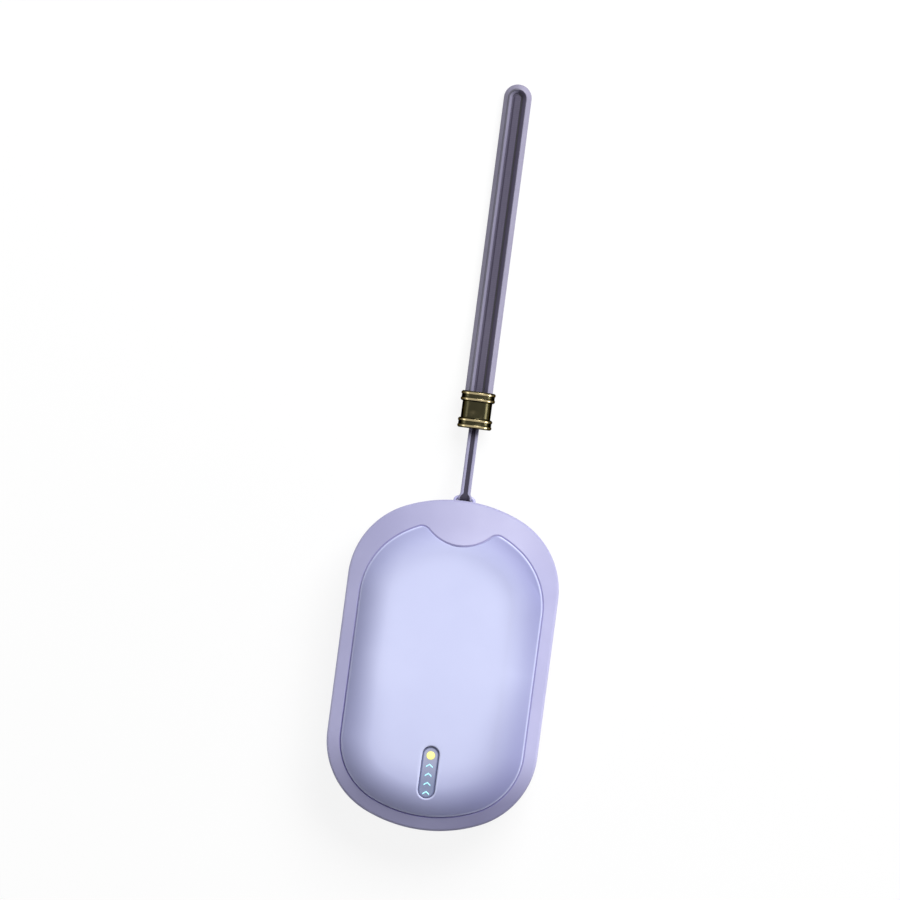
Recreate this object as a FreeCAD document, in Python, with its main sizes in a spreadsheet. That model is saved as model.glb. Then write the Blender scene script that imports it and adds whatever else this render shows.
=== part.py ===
"""Rechargeable hand warmer with a wrist lanyard, as a parametric FreeCAD document.

Millimetres. X runs across the case, Y towards the lanyard and Z out of the front cover. The origin is the
middle of the flat rear face, on which the case lies.
"""
import FreeCAD
import Part
import Sketcher

import math
import os
import re

Vector = FreeCAD.Vector
SAME = 1e-4
ALONG_Y = FreeCAD.Rotation(Vector(1, 0, 0), -90)

# Driving dimensions: one named size each, in millimetres or degrees.
SIZES = {
    # Case outline and section
    "case_width": 66.0,
    "case_length": 103.4,
    "case_thickness": 26.0,
    "corner_set": 7.7,
    "crown_gain": 19.0,
    "rim_drop": 6.0,
    "rim_run": 13.9,
    "rear_rise": 3.6,
    "rear_rim_drop": 2.4,
    "rear_rim_run": 5.5,
    "rim_edge": 1.2,
    "rim_inset": 4.0,
    "frame_wall": 2.4,
    "ledge_width": 1.9,
    "ledge_thickness": 1.2,
    "hollow_height": 8.8,
    # Covers
    "seam": 0.45,
    "cover_wall": 1.8,
    "skirt_wall": 1.9,
    "dome_radius": 14.0,
    "dome_run": 9.5,
    "cavity_roof": 2.0,
    "cavity_inset": 3.6,
    "gasket_thickness": 0.8,
    "gasket_width": 1.7,
    "opening_inset": 6.5,
    "opening_corner_set": 4.65,
    "opening_crown_gain": 7.75,
    "tongue_inset": 13.9,
    "tongue_radius": 13.4,
    "shoulder_radius": 3.0,
    # Key, its lights and its switch
    "key_width": 5.0,
    "key_length": 16.0,
    "key_inset": 18.2,
    "key_gap": 0.15,
    "key_recess": 0.8,
    "key_travel": 0.4,
    "key_flange_margin": 1.8,
    "key_flange_setback": 1.0,
    "key_flange_thickness": 1.2,
    "key_insert_depth": 0.6,
    "dot_diameter": 2.7,
    "dot_offset": 5.3,
    "chevron_offset": 1.9,
    "chevron_pitch": 2.85,
    "chevron_width": 2.1,
    "chevron_rise": 0.8,
    "chevron_stroke": 0.45,
    "switch_offset": 13.0,
    "switch_size": 6.0,
    "switch_height": 3.5,
    "plunger_diameter": 3.2,
    "plunger_gap": 0.2,
    "plunger_sink": 1.7,
    "led_size": 1.6,
    "led_height": 0.7,
    "guide_width": 3.2,
    "shroud_wall": 1.6,
    "shroud_gap": 1.05,
    # Tray, screws and circuit board
    "boss_inset": 9.0,
    "boss_y": 22.0,
    "boss_radius": 2.6,
    "rib_thickness": 2.4,
    "tray_drop": 4.6,
    "tray_thickness": 1.2,
    "tray_gap": 0.5,
    "tray_rib": 1.0,
    "rib_gap": 0.15,
    "tray_rib_height": 4.0,
    "screw_diameter": 2.0,
    "screw_head": 3.6,
    "screw_head_height": 1.3,
    "screw_length": 6.0,
    "screw_gap": 0.03,
    "board_thickness": 1.2,
    "board_width": 30.0,
    "board_above_key": 17.0,
    "board_below_key": 10.0,
    "board_neck_width": 12.0,
    "post_margin": 3.0,
    "post_radius": 2.2,
    "chip_x": 8.0,
    "chip_size": 4.4,
    "chip_height": 0.9,
    "coil_size": 6.0,
    "coil_height": 2.8,
    "capacitor_width": 1.2,
    # Charging port
    "port_width": 9.0,
    "port_height": 3.2,
    "port_wall": 0.3,
    "port_depth": 7.3,
    "port_recess": 0.5,
    "port_gap": 0.15,
    "port_tongue_width": 6.7,
    "port_tongue_thickness": 0.7,
    "port_tongue_length": 4.7,
    # Battery, heaters and foam
    "cell_thickness": 5.2,
    "cell_board_gap": 2.5,
    "cell_inset": 17.7,
    "tape_thickness": 0.2,
    "lead_diameter": 1.0,
    "lead_pitch": 2.2,
    "battery_lead_x": 6.0,
    "heater_lead_x": -10.2,
    "rear_lead_offset": 7.4,
    "plate_inset": 15.0,
    "plate_thickness": 0.8,
    "front_plate_inset": 27.7,
    "film_thickness": 0.3,
    "film_margin": 1.0,
    "film_tail_width": 5.0,
    # Lanyard
    "bail_width": 7.0,
    "bail_wire": 1.2,
    "bail_height": 1.55,
    "bail_bend": 1.0,
    "bail_leg": 4.5,
    "bail_block": 5.5,
    "pocket_width": 5.2,
    "pocket_height": 6.4,
    "pocket_depth": 2.1,
    "tether_width": 3.2,
    "tether_thickness": 1.1,
    "tether_gap": 0.15,
    "tether_layer_spacing": 1.3,
    "tether_reach": 22.7,
    "tether_bend": 4.2,
    "ferrule_length": 11.6,
    "ferrule_flange": 10.8,
    "ferrule_flange_length": 3.2,
    "ferrule_barrel": 9.35,
    "ferrule_hole": 4.6,
    "ferrule_floor": 2.2,
    "ferrule_chamber": 6.8,
    "ferrule_socket": 9.7,
    "ferrule_socket_depth": 3.0,
    "ferrule_round": 0.4,
    "floor_gap": 0.05,
    "stop_diameter": 6.0,
    "stop_length": 3.0,
    "strap_width": 8.7,
    "strap_depth": 4.0,
    "strap_length": 96.9,
    "strap_wall": 2.8,
    "close_fit": 0.05,
    "strap_lead": 2.0,
    "strap_sag_run": 30.0,
    "lining_depth": 2.2,
    "lining_slit": 0.12,
}

document = FreeCAD.newDocument("hand_warmer")
sheet = document.addObject("Spreadsheet::Sheet", "sizes")
for row, (alias, number) in enumerate(SIZES.items(), 1):
    sheet.set(f"A{row}", alias)
    sheet.set(f"B{row}", str(number))
    sheet.setAlias(f"B{row}", alias)
document.recompute()

# Heights and places that several pieces share, as expressions on the sheet.
CORNER = "(case_width / 2 - corner_set)"
CROWN = f"({CORNER} + crown_gain)"
OPENING_CORNER = "(case_width / 2 - rim_inset - opening_corner_set)"
OPENING_CROWN = f"({OPENING_CORNER} + opening_crown_gain)"
OPENING_REACH = "(case_length / 2 - opening_inset)"
TONGUE_TIP = "(case_length / 2 - tongue_inset)"
MIDDLE = "(case_thickness / 2)"
LEDGE = f"({MIDDLE} + hollow_height / 2 + ledge_thickness)"
COVER_FOOT = f"({LEDGE} + gasket_thickness)"
COVER_DEPTH = f"(case_thickness - {COVER_FOOT})"
REAR_LEDGE = f"({COVER_DEPTH} + gasket_thickness)"
DOME_DROP = "(dome_radius - sqrt(dome_radius ^ 2 - (dome_run - skirt_wall) ^ 2))"
CAVITY_DEPTH = f"({COVER_DEPTH} - cavity_roof - {DOME_DROP})"
TRAY_TOP = f"({MIDDLE} - tray_drop)"
TRAY_FOOT = f"({TRAY_TOP} - tray_thickness)"
BOARD_TOP = f"({MIDDLE} - port_height / 2)"
BOARD_FOOT = f"({BOARD_TOP} - board_thickness)"
BOSS_X = "(case_width / 2 - boss_inset)"
KEY_Y = "(key_inset - case_length / 2)"
DOT_Y = f"({KEY_Y} + dot_offset)"
SWITCH_Y = f"({KEY_Y} + switch_offset)"
BOARD_UPPER = f"({KEY_Y} + board_above_key)"
BOARD_LOWER = f"({KEY_Y} - board_below_key)"
CELL_START = f"({BOARD_UPPER} + cell_board_gap)"
CELL_END = "(case_length / 2 - cell_inset)"
CELL_HALF = f"({BOSS_X} - boss_radius - tray_rib - tray_gap / 2 - rib_gap)"
PLATE_HALF = "(case_width / 2 - plate_inset)"
REAR_LEAD_Y = f"({KEY_Y} + rear_lead_offset)"
FRONT_LEAD_Y = f"({BOARD_UPPER} - lead_diameter)"
KEY_TOP = "(case_thickness - key_recess)"
FLANGE_TOP = "(case_thickness - cover_wall - key_gap)"
FLANGE_FOOT = f"({FLANGE_TOP} - key_flange_thickness)"
SWITCH_TOP = f"({BOARD_TOP} + switch_height)"
REAR_PLATE_TOP = "(cover_wall + plate_thickness)"
REAR_FILM_TOP = f"({REAR_PLATE_TOP} + film_thickness)"
FRONT_PLATE_FOOT = "(case_thickness - cover_wall - plate_thickness)"
FRONT_FILM_FOOT = f"({FRONT_PLATE_FOOT} - film_thickness)"
BAIL_Y = "(case_length / 2 + bail_height - bail_wire / 2)"
LANYARD_Z = "(ferrule_flange / 2 + floor_gap)"
FERRULE_START = "(case_length / 2 + tether_reach)"
FERRULE_END = f"({FERRULE_START} + ferrule_length)"
STRAP_END = f"({FERRULE_END} + strap_length)"
STRAP_ROOT = f"({FERRULE_END} - ferrule_socket_depth + close_fit)"
STRAP_LOW = "(strap_depth / 2 + floor_gap)"


def tied(text):
    """The expression with each size's name written as a cell of the sheet."""
    return re.sub(r"[a-z_]+", lambda word: f"sizes.{word[0]}" if word[0] in SIZES else word[0], str(text))


def value(text):
    """The number that an expression on the sheet gives now."""
    return float(sheet.evalExpression(tied(text)))


def bind(item, **settings):
    """Tie properties of a document object to expressions; a double underscore stands for a dot."""
    for name, text in settings.items():
        item.setExpression(name.replace("__", "."), tied(text))


# Sketches


def new_body(label):
    """An empty body under the sub-part's own name."""
    body = document.addObject("PartDesign::Body", label)
    body.Label = label
    return body


def new_sketch(body, plane="XY_Plane", height="0"):
    """A sketch on one of the body's own planes, lifted along that plane's normal."""
    sketch = body.newObject("Sketcher::SketchObject", "Sketch")
    support = next(item for item in body.Origin.OriginFeatures if item.Role == plane)
    sketch.AttachmentSupport = [(support, "")]
    sketch.MapMode = "FlatFace"
    bind(sketch, AttachmentOffset__Base__z=height)
    return sketch


def constrain(sketch, kind, *places, text):
    """Add a dimension to a sketch and tie it to the sheet."""
    index = sketch.addConstraint(Sketcher.Constraint(kind, *places, value(text)))
    sketch.setExpression(f"Constraints[{index}]", tied(text))


def draw_run(sketch, pieces):
    """Draw a closed run of tangent upright lines and arcs.

    A line is ("line", start, end, x); an arc is ("arc", centre, start angle, end angle, radius, centre y),
    where the centre's y is given only for an arc centred on the Y axis. A notch arc is run backwards.
    """
    ids = []
    for piece in pieces:
        if piece[0] == "line":
            shape = Part.LineSegment(Vector(*piece[1], 0), Vector(*piece[2], 0))
        else:
            circle = Part.Circle(Vector(*piece[1], 0), Vector(0, 0, 1), value(piece[4]))
            shape = Part.ArcOfCircle(circle, piece[2], piece[3])
        ids.append(sketch.addGeometry(shape, False))
    for here, (piece, index) in enumerate(zip(pieces, ids)):
        following = (here + 1) % len(ids)
        leave = 1 if piece[0] == "notch" else 2
        enter = 2 if pieces[following][0] == "notch" else 1
        sketch.addConstraint(Sketcher.Constraint("Tangent", index, leave, ids[following], enter))
    for piece, index in zip(pieces, ids):
        if piece[0] == "line":
            sketch.addConstraint(Sketcher.Constraint("Vertical", index))
            constrain(sketch, "DistanceX", -1, 1, index, 1, text=piece[3])
            continue
        constrain(sketch, "Radius", index, text=piece[4])
        if piece[5]:
            sketch.addConstraint(Sketcher.Constraint("PointOnObject", index, 3, -2))
            constrain(sketch, "DistanceY", -1, 1, index, 3, text=piece[5])


def end_arcs(half, end):
    """Where the two corner arcs of a three-arc end sit: the end is (reach, corner radius, crown radius)."""
    width = value(half)
    reach, corner, crown = (value(text) for text in end)
    turn = math.acos((width - corner) / (crown - corner))
    centre = reach - crown
    straight = centre + (crown - corner) * math.sin(turn)
    return width - corner, straight, centre, turn


def outline(half, top, bottom, notch=None):
    """A pebble outline: straight sides and three-arc ends, the top one with a rounded notch if asked.

    notch is (tip y, radius, shoulder radius).
    """
    width = value(half)
    top_x, top_y, top_centre, top_turn = end_arcs(half, top)
    low_x, low_y, low_centre, low_turn = end_arcs(half, bottom)
    turn = math.pi
    top_mid = f"({top[0]}) - ({top[2]})"
    low_mid = f"({bottom[2]}) - ({bottom[0]})"
    if notch:
        tip, radius, shoulder = notch
        crown = crown_with_notch(top, top_centre, top_turn, tip, radius, shoulder, top_mid)
    else:
        crown = [("arc", (0, top_centre), top_turn, turn - top_turn, top[2], top_mid)]
    return [
        ("line", (width, -low_y), (width, top_y), half),
        ("arc", (top_x, top_y), 0, top_turn, top[1], None),
        *crown,
        ("arc", (-top_x, top_y), turn - top_turn, turn, top[1], None),
        ("line", (-width, top_y), (-width, -low_y), f"-({half})"),
        ("arc", (-low_x, -low_y), turn, turn + low_turn, bottom[1], None),
        ("arc", (0, -low_centre), turn + low_turn, 2 * turn - low_turn, bottom[2], low_mid),
        ("arc", (low_x, -low_y), 2 * turn - low_turn, 2 * turn, bottom[1], None),
    ]


def crown_with_notch(top, centre, turn, tip, radius, shoulder, middle):
    """The crown arc in two halves, a rounded shoulder on each and the notch between them."""
    outer, inner, round_radius = value(top[2]), value(radius), value(shoulder)
    notch_centre = value(tip) + inner
    far, near = outer - round_radius, inner + round_radius
    shoulder_y = (far**2 - near**2 - centre**2 + notch_centre**2) / (2 * (notch_centre - centre))
    shoulder_x = math.sqrt(far**2 - (shoulder_y - centre) ** 2)
    leave = math.atan2(shoulder_y - centre, shoulder_x)
    drop = math.atan2(notch_centre - shoulder_y, -shoulder_x)
    half = math.pi
    notch_middle = f"({tip}) + ({radius})"
    return [
        ("arc", (0, centre), turn, leave, top[2], middle),
        ("arc", (shoulder_x, shoulder_y), leave, drop, shoulder, None),
        ("notch", (0, notch_centre), 2 * half - drop, half + drop, radius, notch_middle),
        ("arc", (-shoulder_x, shoulder_y), half - drop, half - leave, shoulder, None),
        ("arc", (0, centre), half - leave, half - turn, top[2], middle),
    ]


def case_outline(inset="0"):
    """The case outline, drawn in by an inset."""
    end = (f"case_length / 2 - ({inset})", f"{CORNER} - ({inset})", f"{CROWN} - ({inset})")
    return outline(f"case_width / 2 - ({inset})", end, end)


def front_outline(inset="0", notch=None, reach=OPENING_REACH):
    """The outline of the frame's front opening, drawn in by an inset."""
    top = (f"{reach} - ({inset})", f"{OPENING_CORNER} - ({inset})", f"{OPENING_CROWN} - ({inset})")
    edge = f"rim_inset + ({inset})"
    low = (f"case_length / 2 - ({edge})", f"{CORNER} - ({edge})", f"{CROWN} - ({edge})")
    return outline(f"case_width / 2 - ({edge})", top, low, notch)


def draw_profile(sketch, corners, bends=None, closed=True):
    """Draw a profile through corners; bends gives (radius, left or right) for the edges that are arcs."""
    bends = bends or {}
    points = [Vector(value(x), value(y), 0) for x, y in corners]
    count = len(points) if closed else len(points) - 1
    edges = []
    for index in range(count):
        start, end = points[index], points[(index + 1) % len(points)]
        radius, side = bends.get(index, (None, "left"))
        shape = arc_between(start, end, value(radius), side) if radius else Part.LineSegment(start, end)
        first, last = (1, 2) if side == "left" else (2, 1)
        edges.append((sketch.addGeometry(shape, False), first, last))
        if radius:
            constrain(sketch, "Radius", edges[-1][0], text=radius)
    for index, (this, first, last) in enumerate(edges):
        constrain(sketch, "DistanceX", -1, 1, this, first, text=corners[index][0])
        constrain(sketch, "DistanceY", -1, 1, this, first, text=corners[index][1])
        if closed or index + 1 < count:
            following = edges[(index + 1) % count]
            sketch.addConstraint(Sketcher.Constraint("Coincident", this, last, following[0], following[1]))
        else:
            constrain(sketch, "DistanceX", -1, 1, this, last, text=corners[-1][0])
            constrain(sketch, "DistanceY", -1, 1, this, last, text=corners[-1][1])


def arc_between(start, end, radius, side):
    """The shorter arc from start to end that turns to the left (anticlockwise) or to the right."""
    chord = end - start
    lift = math.sqrt(max(radius**2 - (chord.Length / 2) ** 2, 0))
    across = Vector(-chord.y, chord.x, 0).normalize()
    centre = (start + end) * 0.5 + across * (lift if side == "left" else -lift)
    first = math.atan2(start.y - centre.y, start.x - centre.x)
    last = math.atan2(end.y - centre.y, end.x - centre.x)
    if side == "right":
        first, last = last, first
    return Part.ArcOfCircle(Part.Circle(centre, Vector(0, 0, 1), radius), first, last)


def rectangle(sketch, left, low, right, high):
    """A rectangle between two corners."""
    draw_profile(sketch, [(left, low), (right, low), (right, high), (left, high)])


def pill(sketch, x, y, width, length):
    """A slot with round ends, along the sketch's upright axis."""
    radius = f"({width}) / 2"
    reach = f"({length} - ({width})) / 2"
    left, right = f"{x} - {radius}", f"{x} + {radius}"
    low, high = f"{y} - {reach}", f"{y} + {reach}"
    quarter = (radius, "left")
    draw_profile(sketch, [(left, low), (x, f"{low} - {radius}"), (right, low),
                          (right, high), (x, f"{high} + {radius}"), (left, high)],
                 {0: quarter, 1: quarter, 3: quarter, 4: quarter})


def circle(sketch, x, y, radius):
    """A circle at a place."""
    shape = Part.Circle(Vector(value(x), value(y), 0), Vector(0, 0, 1), value(radius))
    index = sketch.addGeometry(shape, False)
    constrain(sketch, "DistanceX", -1, 1, index, 3, text=x)
    constrain(sketch, "DistanceY", -1, 1, index, 3, text=y)
    constrain(sketch, "Radius", index, text=radius)


# Features


def extrude(body, kind, sketch, length=None, back=False, both=False):
    """A pad or pocket of a sketch: a length, or through everything where none is given."""
    before = body.Tip.Shape.Volume if kind == "Pocket" else 0
    feature = body.newObject(f"PartDesign::{kind}", kind)
    feature.Profile = sketch
    feature.Reversed = back
    if both:
        feature.SideType = "Symmetric"
    if length is None:
        feature.Type = "ThroughAll"
    else:
        bind(feature, Length=length)
    document.recompute()
    if kind == "Pocket" and not feature.Shape.Volume < before:
        raise RuntimeError(f"A pocket of {body.Label} cuts nothing")
    return feature


def pad(body, sketch, length, **options):
    """A pad of a sketch."""
    return extrude(body, "Pad", sketch, length, **options)


def pocket(body, sketch, length=None, **options):
    """A pocket of a sketch, against the sketch's normal unless turned back."""
    return extrude(body, "Pocket", sketch, length, **options)


def edges_where(feature, test):
    """The names of a feature's edges that pass a test."""
    return [f"Edge{index}" for index, edge in enumerate(feature.Shape.Edges, 1) if test(edge)]


def lies_at(edge, height):
    """Whether an edge lies at one height."""
    box = edge.BoundBox
    return abs(box.ZMin - height) < SAME and abs(box.ZMax - height) < SAME


def round_edges(body, test, radius):
    """A fillet on the edges of the body's tip that pass a test."""
    base = body.Tip
    names = edges_where(base, test)
    if not names:
        raise RuntimeError(f"No edge of {body.Label} to round")
    feature = body.newObject("PartDesign::Fillet", "Fillet")
    feature.Base = (base, names)
    bind(feature, Radius=radius)
    document.recompute()
    return feature


def block(label, low, size):
    """A box from its low corner and its size."""
    item = document.addObject("Part::Box", label)
    item.Label = label
    bind(item, Length=size[0], Width=size[1], Height=size[2])
    bind(item, Placement__Base__x=low[0], Placement__Base__y=low[1], Placement__Base__z=low[2])
    return item


def rod(label, foot, radius, height):
    """An upright cylinder from the middle of its foot."""
    item = document.addObject("Part::Cylinder", label)
    item.Label = label
    bind(item, Radius=radius, Height=height)
    bind(item, Placement__Base__x=foot[0], Placement__Base__y=foot[1], Placement__Base__z=foot[2])
    return item


def combine(kind, label, items):
    """A fusion, common or compound of several objects."""
    item = document.addObject(f"Part::{kind}", label)
    item.Label = label
    if kind == "Compound":
        item.Links = items
    else:
        item.Shapes = items
    return item


def cut(label, base, tool):
    """One object with another taken away."""
    item = document.addObject("Part::Cut", label)
    item.Label = label
    item.Base = base
    item.Tool = tool
    return item


# Case


def make_mid_frame():
    """Rim and side wall: sloped on both sides, open front and rear, with a ledge for each cover's gasket."""
    body = new_body("mid_frame")
    sketch = new_sketch(body, height="rear_rise")
    draw_run(sketch, case_outline())
    pad(body, sketch, "case_thickness - rear_rise")
    slope_rim(body, "case_thickness", "rim_drop", "rim_run")
    slope_rim(body, "rear_rise", "rear_rim_drop", "rear_rim_run")
    shoulders = (value("case_thickness - rim_drop"), value("rear_rise + rear_rim_drop"))
    round_edges(body, lambda edge: any(lies_at(edge, height) for height in shoulders), "rim_edge")
    open_frame(body)
    hold_tray(body)
    cut_frame_ends(body)
    return body


def slope_rim(body, face, drop, run):
    """The broad slope of the rim on one face; in front it goes on into the tongue."""
    base = body.Tip
    slope = body.newObject("PartDesign::Chamfer", "Slope")
    slope.Base = (base, edges_where(base, lambda edge: lies_at(edge, value(face))))
    slope.ChamferType = "Two distances"
    bind(slope, Size=drop, Size2=run)
    document.recompute()


def open_frame(body):
    """Recesses for the covers, the clear opening inside their ledges and the hollow between the ledges.

    The front recess is notched by the tongue, which stops just above the gasket.
    """
    tongue_foot = f"({COVER_FOOT} + seam / 2)"
    sketch = new_sketch(body, height=tongue_foot)
    draw_run(sketch, front_outline(notch=(TONGUE_TIP, "tongue_radius", "shoulder_radius + seam")))
    pocket(body, sketch, back=True)
    sketch = new_sketch(body, height=LEDGE)
    draw_run(sketch, front_outline())
    pocket(body, sketch, f"{tongue_foot} - {LEDGE}", back=True)
    sketch = new_sketch(body)
    draw_run(sketch, case_outline("rim_inset"))
    pocket(body, sketch, REAR_LEDGE, back=True)
    sketch = new_sketch(body, height=MIDDLE)
    draw_run(sketch, front_outline("seam + ledge_width"))
    pocket(body, sketch, f"{LEDGE} - {MIDDLE}", back=True)
    sketch = new_sketch(body, height=MIDDLE)
    draw_run(sketch, case_outline("rim_inset + seam + ledge_width"))
    pocket(body, sketch)
    sketch = new_sketch(body, height=MIDDLE)
    draw_run(sketch, case_outline("frame_wall"))
    pocket(body, sketch, "hollow_height", both=True)


def hold_tray(body):
    """Four screw bosses, each on a rib from the side wall, and a block behind the bail."""
    height = f"{LEDGE} - ledge_thickness - {TRAY_TOP}"
    sketch = new_sketch(body, height=TRAY_TOP)
    for side in (-1, 1):
        for end in (-1, 1):
            circle(sketch, f"{side} * {BOSS_X}", f"{end} * boss_y", "boss_radius")
    pad(body, sketch, height)
    sketch = new_sketch(body, height=TRAY_TOP)
    for side in (-1, 1):
        for end in (-1, 1):
            inner, outer = f"{side} * {BOSS_X}", f"{side} * (case_width / 2 - frame_wall / 2)"
            left, right = (inner, outer) if side > 0 else (outer, inner)
            rectangle(sketch, left, f"{end} * boss_y - rib_thickness / 2", right,
                      f"{end} * boss_y + rib_thickness / 2")
    pad(body, sketch, height)
    sketch = new_sketch(body, height=TRAY_TOP)
    for x, y in tray_holes():
        circle(sketch, x, y, "screw_diameter / 2 + screw_gap")
    pocket(body, sketch, "screw_length", back=True)
    sketch = new_sketch(body, height=MIDDLE)
    rectangle(sketch, "-bail_block", "case_length / 2 - frame_wall - bail_leg", "bail_block",
              "case_length / 2 - frame_wall / 2")
    pad(body, sketch, "hollow_height", both=True)


def cut_frame_ends(body):
    """The pocket and leg holes of the bail at one end, and the charging port's slot at the other."""
    sketch = new_sketch(body, height=MIDDLE)
    rectangle(sketch, "-pocket_width / 2", "case_length / 2 - pocket_depth", "pocket_width / 2",
              "case_length / 2 + seam")
    pocket(body, sketch, "pocket_height", both=True)
    sketch = new_sketch(body, "XZ_Plane", "-(case_length / 2 + seam)")
    for side in (-1, 1):
        circle(sketch, f"{side} * (bail_width - bail_wire) / 2", MIDDLE, "bail_wire / 2 + close_fit / 2")
    pocket(body, sketch, "bail_leg + seam + bail_wire", back=True)
    sketch = new_sketch(body, "XZ_Plane", "case_length / 2 + seam")
    flat_pill(sketch, "port_gap")
    pocket(body, sketch, "frame_wall + 2 * seam + ledge_width")


def flat_pill(sketch, margin):
    """The charging port's rounded slot, lying across the case, widened by a margin."""
    radius = f"(port_height / 2 + ({margin}))"
    half = "(port_width - port_height) / 2"
    low, high = f"{MIDDLE} - {radius}", f"{MIDDLE} + {radius}"
    quarter = (radius, "left")
    draw_profile(sketch, [(f"-{half}", low), (half, low), (f"{half} + {radius}", MIDDLE),
                          (half, high), (f"-{half}", high), (f"-{half} - {radius}", MIDDLE)],
                 {1: quarter, 2: quarter, 4: quarter, 5: quarter})


def dome(body, rear):
    """A pillow: an outline wider than the cover, with a large round edge on its outer side."""
    wide = "seam - (dome_radius - dome_run)"
    foot = "0" if rear else "case_thickness - dome_radius - cover_wall"
    sketch = new_sketch(body, height=foot)
    draw_run(sketch, case_outline(f"rim_inset + {wide}") if rear else front_outline(wide))
    pad(body, sketch, "dome_radius + cover_wall")
    crest = 0 if rear else value("case_thickness")
    round_edges(body, lambda edge: lies_at(edge, crest), "dome_radius")


def trim_round(body, shape):
    """Cut away all that lies outside an outline."""
    sketch = new_sketch(body, height="case_thickness + seam")
    rectangle(sketch, "-case_length", "-case_length", "case_length", "case_length")
    draw_run(sketch, shape)
    pocket(body, sketch)


def make_front_cover():
    """Front shell: a pillow with a notch for the tongue, a hollow underside and the key's slot."""
    body = new_body("front_cover")
    dome(body, rear=False)
    notch = (f"{TONGUE_TIP} - seam", "tongue_radius + seam", "shoulder_radius")
    trim_round(body, front_outline("seam", notch))
    sketch = new_sketch(body, height=COVER_FOOT)
    rectangle(sketch, "-case_length", "-case_length", "case_length", "case_length")
    pocket(body, sketch)
    inner = "seam + skirt_wall"
    for inset, depth in ((inner, CAVITY_DEPTH), (f"{inner} + cavity_inset", f"{COVER_DEPTH} - cover_wall")):
        sketch = new_sketch(body, height=COVER_FOOT)
        draw_run(sketch, front_outline(inset, reach=TONGUE_TIP))
        pocket(body, sketch, depth, back=True)
    sketch = new_sketch(body, height="case_thickness + seam")
    pill(sketch, "0", KEY_Y, "key_width + 2 * key_gap", "key_length + 2 * key_gap")
    pocket(body, sketch)
    return body


def make_rear_cover():
    """Rear shell: the same pillow with no notch and no slot, flat in the middle."""
    body = new_body("rear_cover")
    dome(body, rear=True)
    trim_round(body, case_outline("rim_inset + seam"))
    sketch = new_sketch(body, height=COVER_DEPTH)
    rectangle(sketch, "-case_length", "-case_length", "case_length", "case_length")
    pocket(body, sketch, back=True)
    inner = "rim_inset + seam + skirt_wall"
    for inset, depth in ((inner, CAVITY_DEPTH), (f"{inner} + cavity_inset", f"{COVER_DEPTH} - cover_wall")):
        sketch = new_sketch(body, height=COVER_DEPTH)
        draw_run(sketch, case_outline(inset))
        pocket(body, sketch, depth)
    return body


def make_gasket(label, foot, shape):
    """A flat gasket on one of the frame's ledges; shape draws the outline at an inset."""
    body = new_body(label)
    sketch = new_sketch(body, height=foot)
    draw_run(sketch, shape("seam"))
    draw_run(sketch, shape("seam + gasket_width"))
    pad(body, sketch, "gasket_thickness")
    return body


# Key and its lights


def chevron_y(index):
    """Where one level chevron stands along the case."""
    return f"({KEY_Y} + chevron_offset - {index} * chevron_pitch)"


def chevron_corners(index):
    """The corners of one level chevron, pointing to the lanyard."""
    y = chevron_y(index)
    half = "chevron_width / 2"
    return [(f"-{half}", f"{y} - chevron_stroke"), ("0", f"{y} + chevron_rise - chevron_stroke"),
            (half, f"{y} - chevron_stroke"), (half, y), ("0", f"{y} + chevron_rise"), (f"-{half}", y)]


CHEVRONS = 4


def make_power_key():
    """The window: a pill in the cover's slot, on a wider flange that keeps it in, with room for inserts."""
    body = new_body("power_key")
    sketch = new_sketch(body, height=FLANGE_FOOT)
    half = "(key_width / 2 + key_flange_margin)"
    rectangle(sketch, f"-{half}", f"{KEY_Y} - key_length / 2 + key_flange_setback", half,
              f"{SWITCH_Y} + switch_size / 2")
    pad(body, sketch, "key_flange_thickness")
    sketch = new_sketch(body, height=FLANGE_TOP)
    pill(sketch, "0", KEY_Y, "key_width", "key_length")
    pad(body, sketch, f"{KEY_TOP} - {FLANGE_TOP}")
    sketch = new_sketch(body, height=KEY_TOP)
    circle(sketch, "0", DOT_Y, "dot_diameter / 2")
    for index in range(CHEVRONS):
        draw_profile(sketch, chevron_corners(index))
    pocket(body, sketch, "key_insert_depth")
    return body


def make_status_lens():
    """The round light pipe in the key."""
    return rod("status_lens", ("0", DOT_Y, f"{KEY_TOP} - key_insert_depth"), "dot_diameter / 2",
               "key_insert_depth")


def make_level_chevrons():
    """The four arrow-shaped light pipes in the key."""
    marks = []
    for index in range(CHEVRONS):
        body = new_body(f"chevron_{index}")
        sketch = new_sketch(body, height=f"{KEY_TOP} - key_insert_depth")
        draw_profile(sketch, chevron_corners(index))
        pad(body, sketch, "key_insert_depth")
        marks.append(body)
    return combine("Compound", "level_chevrons", marks)


def make_switch():
    """The push switch on the board and the tall plunger that the key's flange stands on."""
    half = "switch_size / 2"
    case = block("switch_case", (f"-{half}", f"{SWITCH_Y} - {half}", BOARD_TOP),
                 ("switch_size", "switch_size", "switch_height"))
    bore_foot = f"{SWITCH_TOP} - plunger_sink - 2 * key_travel"
    bore = rod("switch_bore", ("0", SWITCH_Y, bore_foot), "plunger_diameter / 2 + plunger_gap",
               f"{SWITCH_TOP} - ({bore_foot}) + plunger_gap")
    switch = cut("tact_switch", case, bore)
    plunger_foot = f"{SWITCH_TOP} - plunger_sink"
    plunger = rod("switch_plunger", ("0", SWITCH_Y, plunger_foot), "plunger_diameter / 2",
                  f"{FLANGE_FOOT} - ({plunger_foot})")
    return [switch, plunger]


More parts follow.
